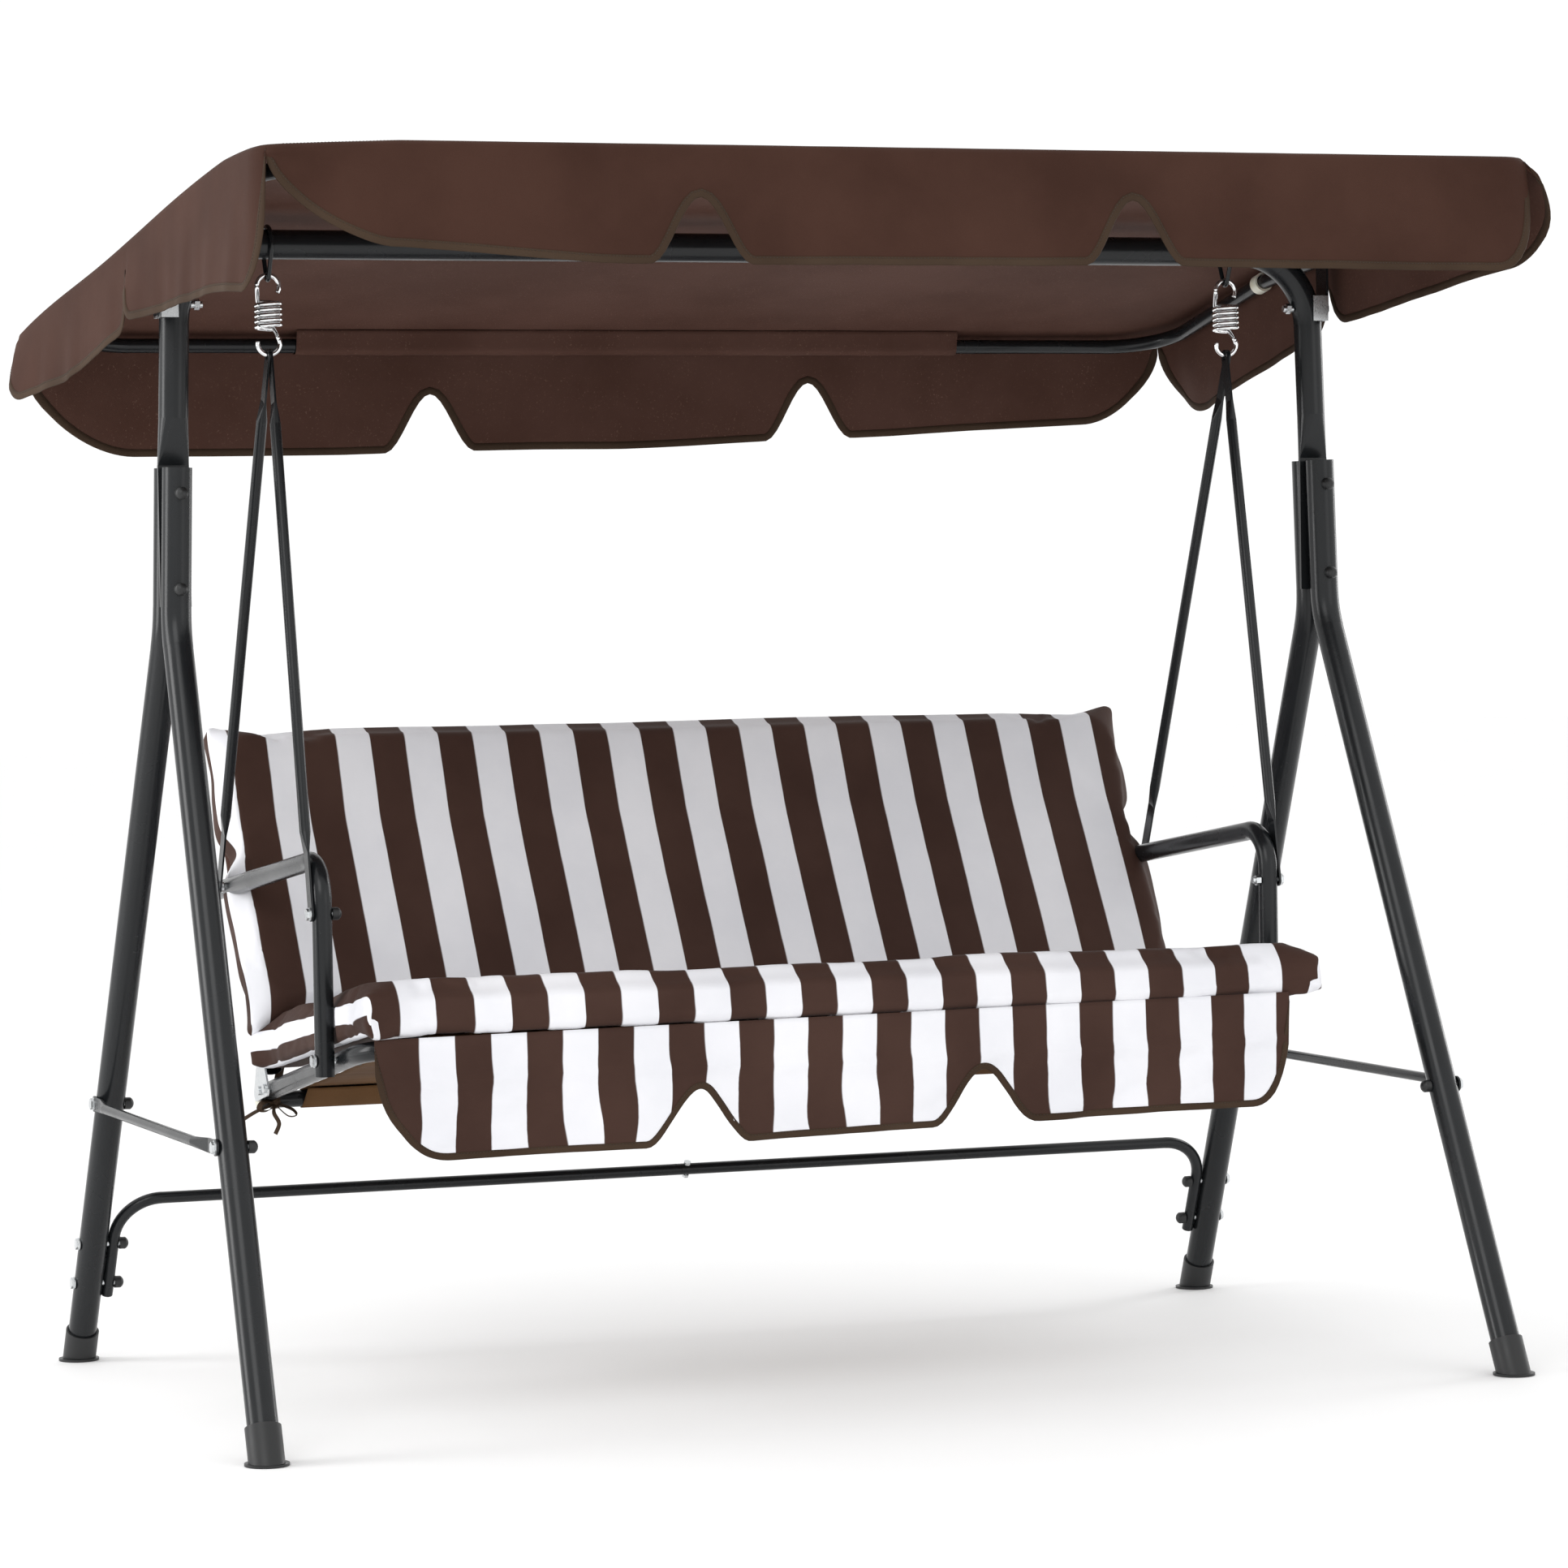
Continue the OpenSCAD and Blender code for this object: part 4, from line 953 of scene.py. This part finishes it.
def make_seat_cushion():
    low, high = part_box("seat_cushion")
    length = (high.y - low.y) / cos(SEAT_FALL)
    base_z = low.z + (high.y - low.y) * tan(SEAT_FALL)
    half = high.x + 8 * MM
    obj = soft_pad("seat_cushion_cover", half, length, 0.0, high.x / half)
    x, y, z, upper = flat_below(obj)
    front = np.clip(1 - y / (35 * MM), 0, 1)
    rear = np.clip(1 - (length - y) / (45 * MM), 0, 1)
    side = np.clip((np.abs(x) - half + 50 * MM) / (50 * MM), 0, 1)
    slow, quickly = field(x, y, 5, 8, 1.7), field(x, y, 19, 26, 4.7)
    crumple = field(x + z * 2, y + z * 3, 42, 42, 8.1)
    z = z + upper * (3.5 * MM * slow + 1.5 * MM * quickly) + side * front * 5 * MM * crumple
    z = z + side * upper * 3 * MM
    y = y + front * (2.5 * MM * slow + 2.0 * MM * quickly) + side * front * 4 * MM * crumple
    x = x + side * np.sign(x) * (2.5 * MM * field(y, z, 30, 30, 3.3) + 2 * MM * crumple)
    x = x + side ** 2 * (12 * MM * np.sign(x) * rear + 6 * MM * front)
    lip = np.clip(1 - z / (16 * MM), 0, 1) * np.clip(1 - (y + 10 * MM) / (36 * MM), 0, 1)
    z = z - lip * (5 * MM + 4.5 * MM * whiteness(x * high.x / half, high.x) + 9 * MM * np.clip(-x / half, 0, 1))
    y = y - lip * 3 * MM
    post = np.exp(-((y - (arm_post_y - low.y) / cos(SEAT_FALL)) / (24 * MM)) ** 4)
    x = np.sign(x) * np.minimum(np.abs(x), np.abs(x) * (1 - post) + high.x * post)
    round_and_finish(obj, x, y, z)
    fall = SEAT_FALL - radians(1.2)
    obj.data.transform(Matrix.Translation((0, low.y, base_z)) @ Matrix.Rotation(-fall, 4, "X"))
    carry(obj, "seat", "cloth_striped", "seat_cushion")


def make_back_cushion():
    corners = [v.co for v in NODES["back_cushion"].data.vertices]
    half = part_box("back_cushion")[1].x
    rear = min(c.dot(BACK_OUT) for c in corners)
    on_rear = [c.dot(BACK_UP) for c in corners if c.dot(BACK_OUT) < rear + 2 * MM]
    start, end = min(on_rear), max(on_rear)
    width = half + 5 * MM
    end -= 14 * MM
    obj = soft_pad("back_cushion_cover", width, end - start, 0.75 * STRIPE, 13.75 * STRIPE / (2 * width))
    x, y, z, upper = flat_below(obj)
    slow, quickly = field(x, y, 4, 4, 9.7), field(x, y, 15, 12, 2.2)
    side = np.clip((np.abs(x) - half + 60 * MM) / (60 * MM), 0, 1)
    top = np.clip((y - (end - start) + 40 * MM) / (40 * MM), 0, 1)
    crumple = field(x + z, y + z * 2, 30, 22, 6.4)
    z = z + upper * (2.8 * MM * slow + 1.3 * MM * quickly) + (side * top * 5 + side * 2) * MM * crumple
    x = x + side * np.sign(x) * 3.5 * MM * field(y, z, 14, 20, 7.7) + side * top * 3 * MM * crumple
    y = y + top * (2.0 * MM * slow + 3 * MM * side * crumple)
    arm_y = ARM_REAR.dot(BACK_UP) - start
    x = x + 3 * MM + 9 * MM * np.clip((y - arm_y - 30 * MM) / (end - start - arm_y), 0, 1)
    pinch = np.exp(-((y - arm_y) / (24 * MM)) ** 2) * side
    x = np.sign(x) * np.minimum(np.abs(x), np.abs(x) * (1 - pinch) + (half - 19 * MM) * pinch)
    round_and_finish(obj, x, y, z)
    place = Matrix((Vector((1, 0, 0)), BACK_UP, BACK_OUT)).transposed().to_4x4()
    obj.data.transform(Matrix.Translation(BACK_UP * start + BACK_OUT * rear) @ place)
    carry(obj, "seat", "cloth_striped", "back_cushion")
    return rear, start


def make_back_cover(rear, start):
    """Plain cloth back of the backrest cover: a pocket pulled over the top and sides of the backrest hoop."""
    tube_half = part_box("back_frame")[1].x
    axis_n = rear - 14.5 * MM
    low_v = start - 14 * MM
    high_v = max(v.co.dot(BACK_UP) for v in NODES["back_frame"].data.vertices) - 8 * MM
    edge = 11 * MM
    mid_v, half_v = (low_v + high_v) / 2, (high_v - low_v) / 2

    def height(x, y):
        slack = 2.5 * MM * rough(x * 3.1, y * 4.2, 11.0)
        folds = 1.6 * MM * rough(x * 14, y * 5 + 3, 12.0)
        free = max(0.0, 1 - abs(x) / (tube_half - 30 * MM))
        below = min(1.0, max(0.0, (half_v - 24 * MM - y) / (70 * MM)))
        return 13.6 * MM + ((slack + folds) * min(1, free * 4) - 5 * MM * min(1, free * 2)) * below

    tray = Tray(tube_half - edge + 1.2 * MM, half_v, height, 60 * MM, edge, WRAP_LENGTH)
    arm = ARM_REAR.dot(BACK_UP) - mid_v
    sides = [Wrap(tray, name, seed, (WRAP_LENGTH, WRAP_LENGTH), notches, 34 * MM, 30 * MM, ((0.02, 2), (0.02, 2)))
             for name, seed, notches in (("right", 21, (arm,)), ("rear", 22, ()), ("left", 23, (-arm,)))]
    basis = Matrix((Vector((-1, 0, 0)), BACK_UP, -BACK_OUT)).transposed().to_4x4()
    place = Matrix.Translation(BACK_UP * mid_v + BACK_OUT * axis_n) @ basis
    cloth = hung_cloth("back_cover", tray, sides, place, steps=12 * MM, rows=6)
    carry(cloth, "seat", "cloth_brown", "back_sling")
    rows = [[tray.top(x, y) + UP * 0.6 * MM for x in evenly(tray.half_x - 20 * MM, 12 * MM)]
            for y in (-half_v + 14 * MM, half_v - 16 * MM)]
    thread = sew("back_cover_stitching", [seam(row, UP) for row in rows], "seat", place)


# ------------ skirt, sling and ties


SKIRT_DROP, SKIRT_CORNER = 0.15, 18 * MM


class Skirt:
    """The lobed skirt that hangs in front of the seat, measured along its edge from its middle."""

    def __init__(self):
        low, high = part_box("seat_skirt")
        self.half, self.top, self.y, self.shift = 0.617, high.z + 2 * MM, low.y, -13 * MM
        self.notches = (-0.197, 0.186)
        self.places = spaced(self.half, 6 * MM, self.notches)

    def length_down(self, s):
        t = (s + self.half) / (2 * self.half)
        drop = 0.152 - 0.008 * t + 2.5 * MM * wave(s, 31, 0.2)
        cut = 0.070 * max(bell(s - n, 0.070) for n in self.notches)
        share = min(corner_rise((s + self.half) / 0.095, 2.0), corner_rise((self.half - s) / 0.055, 2.4))
        return SKIRT_CORNER + max(0.0, drop - cut - SKIRT_CORNER) * share

    def point(self, s, h):
        share = h / SKIRT_DROP
        crease = 3.0 * MM * exp(-((h - 58 * MM - 9 * MM * wave(s, 37, 0.3)) / (8 * MM)) ** 2)
        out = 8 * MM * wave(s + 0.3 * h, 33, 0.085) * share ** 1.2 + 4 * MM * wave(s + 2 * h, 34, 0.035) * share
        sway = 7 * MM * wave(s * 0.6 + h, 35, 0.06) * share ** 0.5 * min(1, share * 3)
        edge = min(s + self.half, self.half - s)
        curl = 8 * MM * max(0.0, 1 - edge / 0.05) ** 2 * share
        top = self.top - 10 * MM * (self.half - s) / (2 * self.half)
        return Vector((s + self.shift + sway * min(1, edge / 0.03), self.y - 5 * MM * share - out - crease + curl,
                       top - h))

    def normal(self, s, h):
        d = 1 * MM
        n = (self.point(s + d, h) - self.point(s - d, h)).cross(self.point(s, h + d) - self.point(s, max(h - d, 0)))
        n = n.normalized()
        return n if n.y < 0 else -n


def make_skirt():
    skirt = Skirt()
    steps = 20
    places = [[(s, skirt.length_down(s) * k / steps) for s in skirt.places] for k in range(steps + 1)]
    stripe = [max((s + skirt.shift) / 0.984 + SEAT_HALF - 6 * MM, 1 * MM) for row in places for s, _ in row]
    cloth = sheet_of("skirt_cloth", [[skirt.point(s, h) for s, h in row] for row in places], places, STRIPED)
    set_stripe(cloth, stripe)
    carry(cloth, "seat", "cloth_striped", "seat_skirt")
    trim = bind_edges("skirt", [skirt], "seat", width=7.5 * MM)


def make_sling():
    """Webbing stretched from the front cross tube to the rear one and sewn round both."""
    sling_low, sling_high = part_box("seat_sling")
    rear = Vector((0, *middle("seat_rear_tube").yz))
    front = Vector((0, sling_low.y + 13.6 * MM, sling_high.z - 13.6 * MM))
    r_front, r_rear = 13.7 * MM, 12.2 * MM
    run = (rear - front).normalized()
    up = Vector((0, -run.z, run.y))
    points = [front + run * 40 * MM + up * (r_front - 3.5 * MM), front + run * 22 * MM - up * 4 * MM]
    points += [front - up * r_front * cos(a) - run * r_front * sin(a)
               for a in (radians(k * 15) for k in range(13))]
    length = (rear - front).length
    for k in range(1, 12):
        t = k / 12
        points.append(front + run * length * t + up * (r_front + (r_rear - r_front) * t)
                      - up * 2.5 * MM * sin(pi * t))
    points += [rear + up * r_rear * cos(a) + run * r_rear * sin(a)
               for a in (radians(k * 15) for k in range(13))]
    points += [rear - run * 18 * MM - up * 3 * MM, rear - run * 36 * MM + up * (r_rear - 3.5 * MM)]
    path = spline(points, 5 * MM)
    half_front, half_rear = sling_high.x, 0.577
    rows, uvs, total = [], [], 0.0
    xs = evenly(1.0, 0.02)
    for i, p in enumerate(path):
        total += (p - path[i - 1]).length if i else 0.0
        t = min(max((p - front).dot(run) / length, 0), 1)
        half = half_front + (half_rear - half_front) * sqrt(t)
        soft = [2.0 * MM * rough(x * 5, i * 0.16, 21) * sin(pi * t) for x in xs]
        rows.append([p + Vector((x * half, 0, 0)) + up * d for x, d in zip(xs, soft)])
        uvs.append([(x * half, total) for x in xs])
    cloth = sheet_of("seat_sling_cloth", rows, uvs, SLING, flip=True)
    carry(cloth, "seat", "cloth_brown", "seat_sling")
    seams = []
    for t in (0.075, 0.095, 0.915, 0.935):
        level = min(range(len(path)), key=lambda i: abs((path[i] - front).dot(run) / length - t)
                    + (0 if (path[i] - front).dot(up) > 0 else 9))
        seams += [seam([q + way * 0.6 * MM for q in rows[level]], way) for way in (up, -up)]
    thread = sew("seat_sling_stitching", seams, "seat")


def ribbon(points, width, thick, up, step=3 * MM):
    return sweep(spline(points, step), ribbon_outline(width, thick), up=up)


def make_ties():
    """Tapes that tie the rear corners of the seat cushion to the cross tube: a knot, two loops and two tails."""
    low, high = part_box("seat_rear_tube")
    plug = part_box("seat_tube_plugs")[1].x
    y, z = (low.y + high.y) / 2, (low.z + high.z) / 2
    r = (high.z - low.z) / 2 + 0.8 * MM
    for side, name in ((-1, "left"), (1, "right")):
        def at(x, dy, dz):
            return Vector((side * (plug - x), y + dy, z + dz))
        loop_x = 22 * MM
        around = [at(loop_x + 2 * MM * i / 12, r * sin(a), r * cos(a))
                  for i, a in ((i, radians(30 * i)) for i in range(13))]
        knot = at(loop_x - 2 * MM, -r - 4 * MM, -3 * MM)
        from_cushion = [at(loop_x + 6 * MM, -30 * MM, 62 * MM), at(loop_x + 3 * MM, -24 * MM, 40 * MM),
                        at(loop_x, -18 * MM, 16 * MM), knot]
        ball = [knot + Vector((side * u * MM, v * MM, w * MM)) for u, v, w in (
            (-5, 2, 4), (-1, -5, 3), (5, -4, -1), (4, 2, -5), (-3, 3, -4), (-6, -2, 0), (0, -6, 1), (6, 0, 4))]
        parts = [ribbon(around, 9 * MM, 0.9 * MM, (1, 0, 0)), ribbon(from_cushion, 11 * MM, 0.8 * MM, (1, 0, 0)),
                 ribbon(ball, 7 * MM, 1.6 * MM, (0, 0, 1), step=2 * MM)]
        for line in (
            ((0, 0, 0), (-9, -9, -3), (-21, -13, -9), (-25, -14, -16), (-15, -12, -17), (-4, -6, -7), (0, 0, 0)),
            ((0, 0, 0), (10, -8, 4), (22, -13, 1), (25, -14, -7), (14, -11, -9), (3, -5, -4), (0, 0, 0)),
            ((0, 0, 0), (14, -9, -4), (32, -14, -10), (54, -16, -23), (68, -14, -40), (72, -13, -52)),
            ((0, 0, 0), (4, -8, -12), (-2, -11, -26), (3, -10, -40)),
        ):
            tape = [knot + Vector((side * u, v, w)) * MM for u, v, w in line]
            parts.append(ribbon(tape, 8 * MM, 0.8 * MM, (0, 1, 0.3)))
        verts, faces = merged(parts)
        obj = new_object("cushion_tie_" + name, verts, faces, BINDING, uvs=[(v.x, v.z) for v in verts])
        carry(obj, "seat", "cloth_brown")
        if side < 0:
            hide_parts("cushion_ties")


# ------------ build

make_camera()
make_studio()

BLACK, CAPS, ZINC, CHROME, CREAM = powder_coat(), molded_black(), zinc(), chrome(), cream_plastic()
BROWN = brown_cloth("cloth_brown")
# Underside of the canopy cloth and its rail pockets: the same brown painted lighter, a painted glow that stands in
# for light through the cloth; its small bright specks are the coated side's own.
BROWN_UNDERSIDE_PAINTED_GLOW = brown_cloth("cloth_brown_underside_painted_glow", (0.068, 0.031, 0.022), (0.100, 0.050, 0.038), speckle=0.5)
SLING = brown_cloth("sling_webbing", (0.075, 0.036, 0.014), (0.135, 0.068, 0.026), pitch=2.2 * MM)
BINDING = brown_cloth("binding_tape", (0.040, 0.024, 0.015), (0.066, 0.042, 0.027), pitch=1.4 * MM)
THREAD = thread_material("thread_brown", (0.05, 0.032, 0.022))

SEAT_FALL, BACK_LEAN = radians(10.6), radians(32)
SEAT_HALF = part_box("seat_cushion")[1].x
STRIPE = 2 * SEAT_HALF / 13.5
BACK_UP = Vector((0, sin(BACK_LEAN), cos(BACK_LEAN)))
BACK_OUT = Vector((0, -cos(BACK_LEAN), sin(BACK_LEAN)))
arm_low, arm_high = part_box("armrest_right")
arm_post_y = arm_low.y + 12.5 * MM
ARM_REAR = Vector((0, arm_high.y, 0.655))
STRIPED = striped_cloth(STRIPE)

spring_low, spring_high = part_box("spring_right")
gear_x = middle("spring_right").x
hook_reach = HOOK_RADIUS + 2.75 * MM
hook_top_z, hook_low_z = spring_high.z - hook_reach, spring_low.z + hook_reach

finish_frame()
for hand in (-1, 1):
    spring(hand)
make_canopy()
make_seat_cushion()
make_back_cover(*make_back_cushion())
make_skirt()
make_sling()
make_ties()
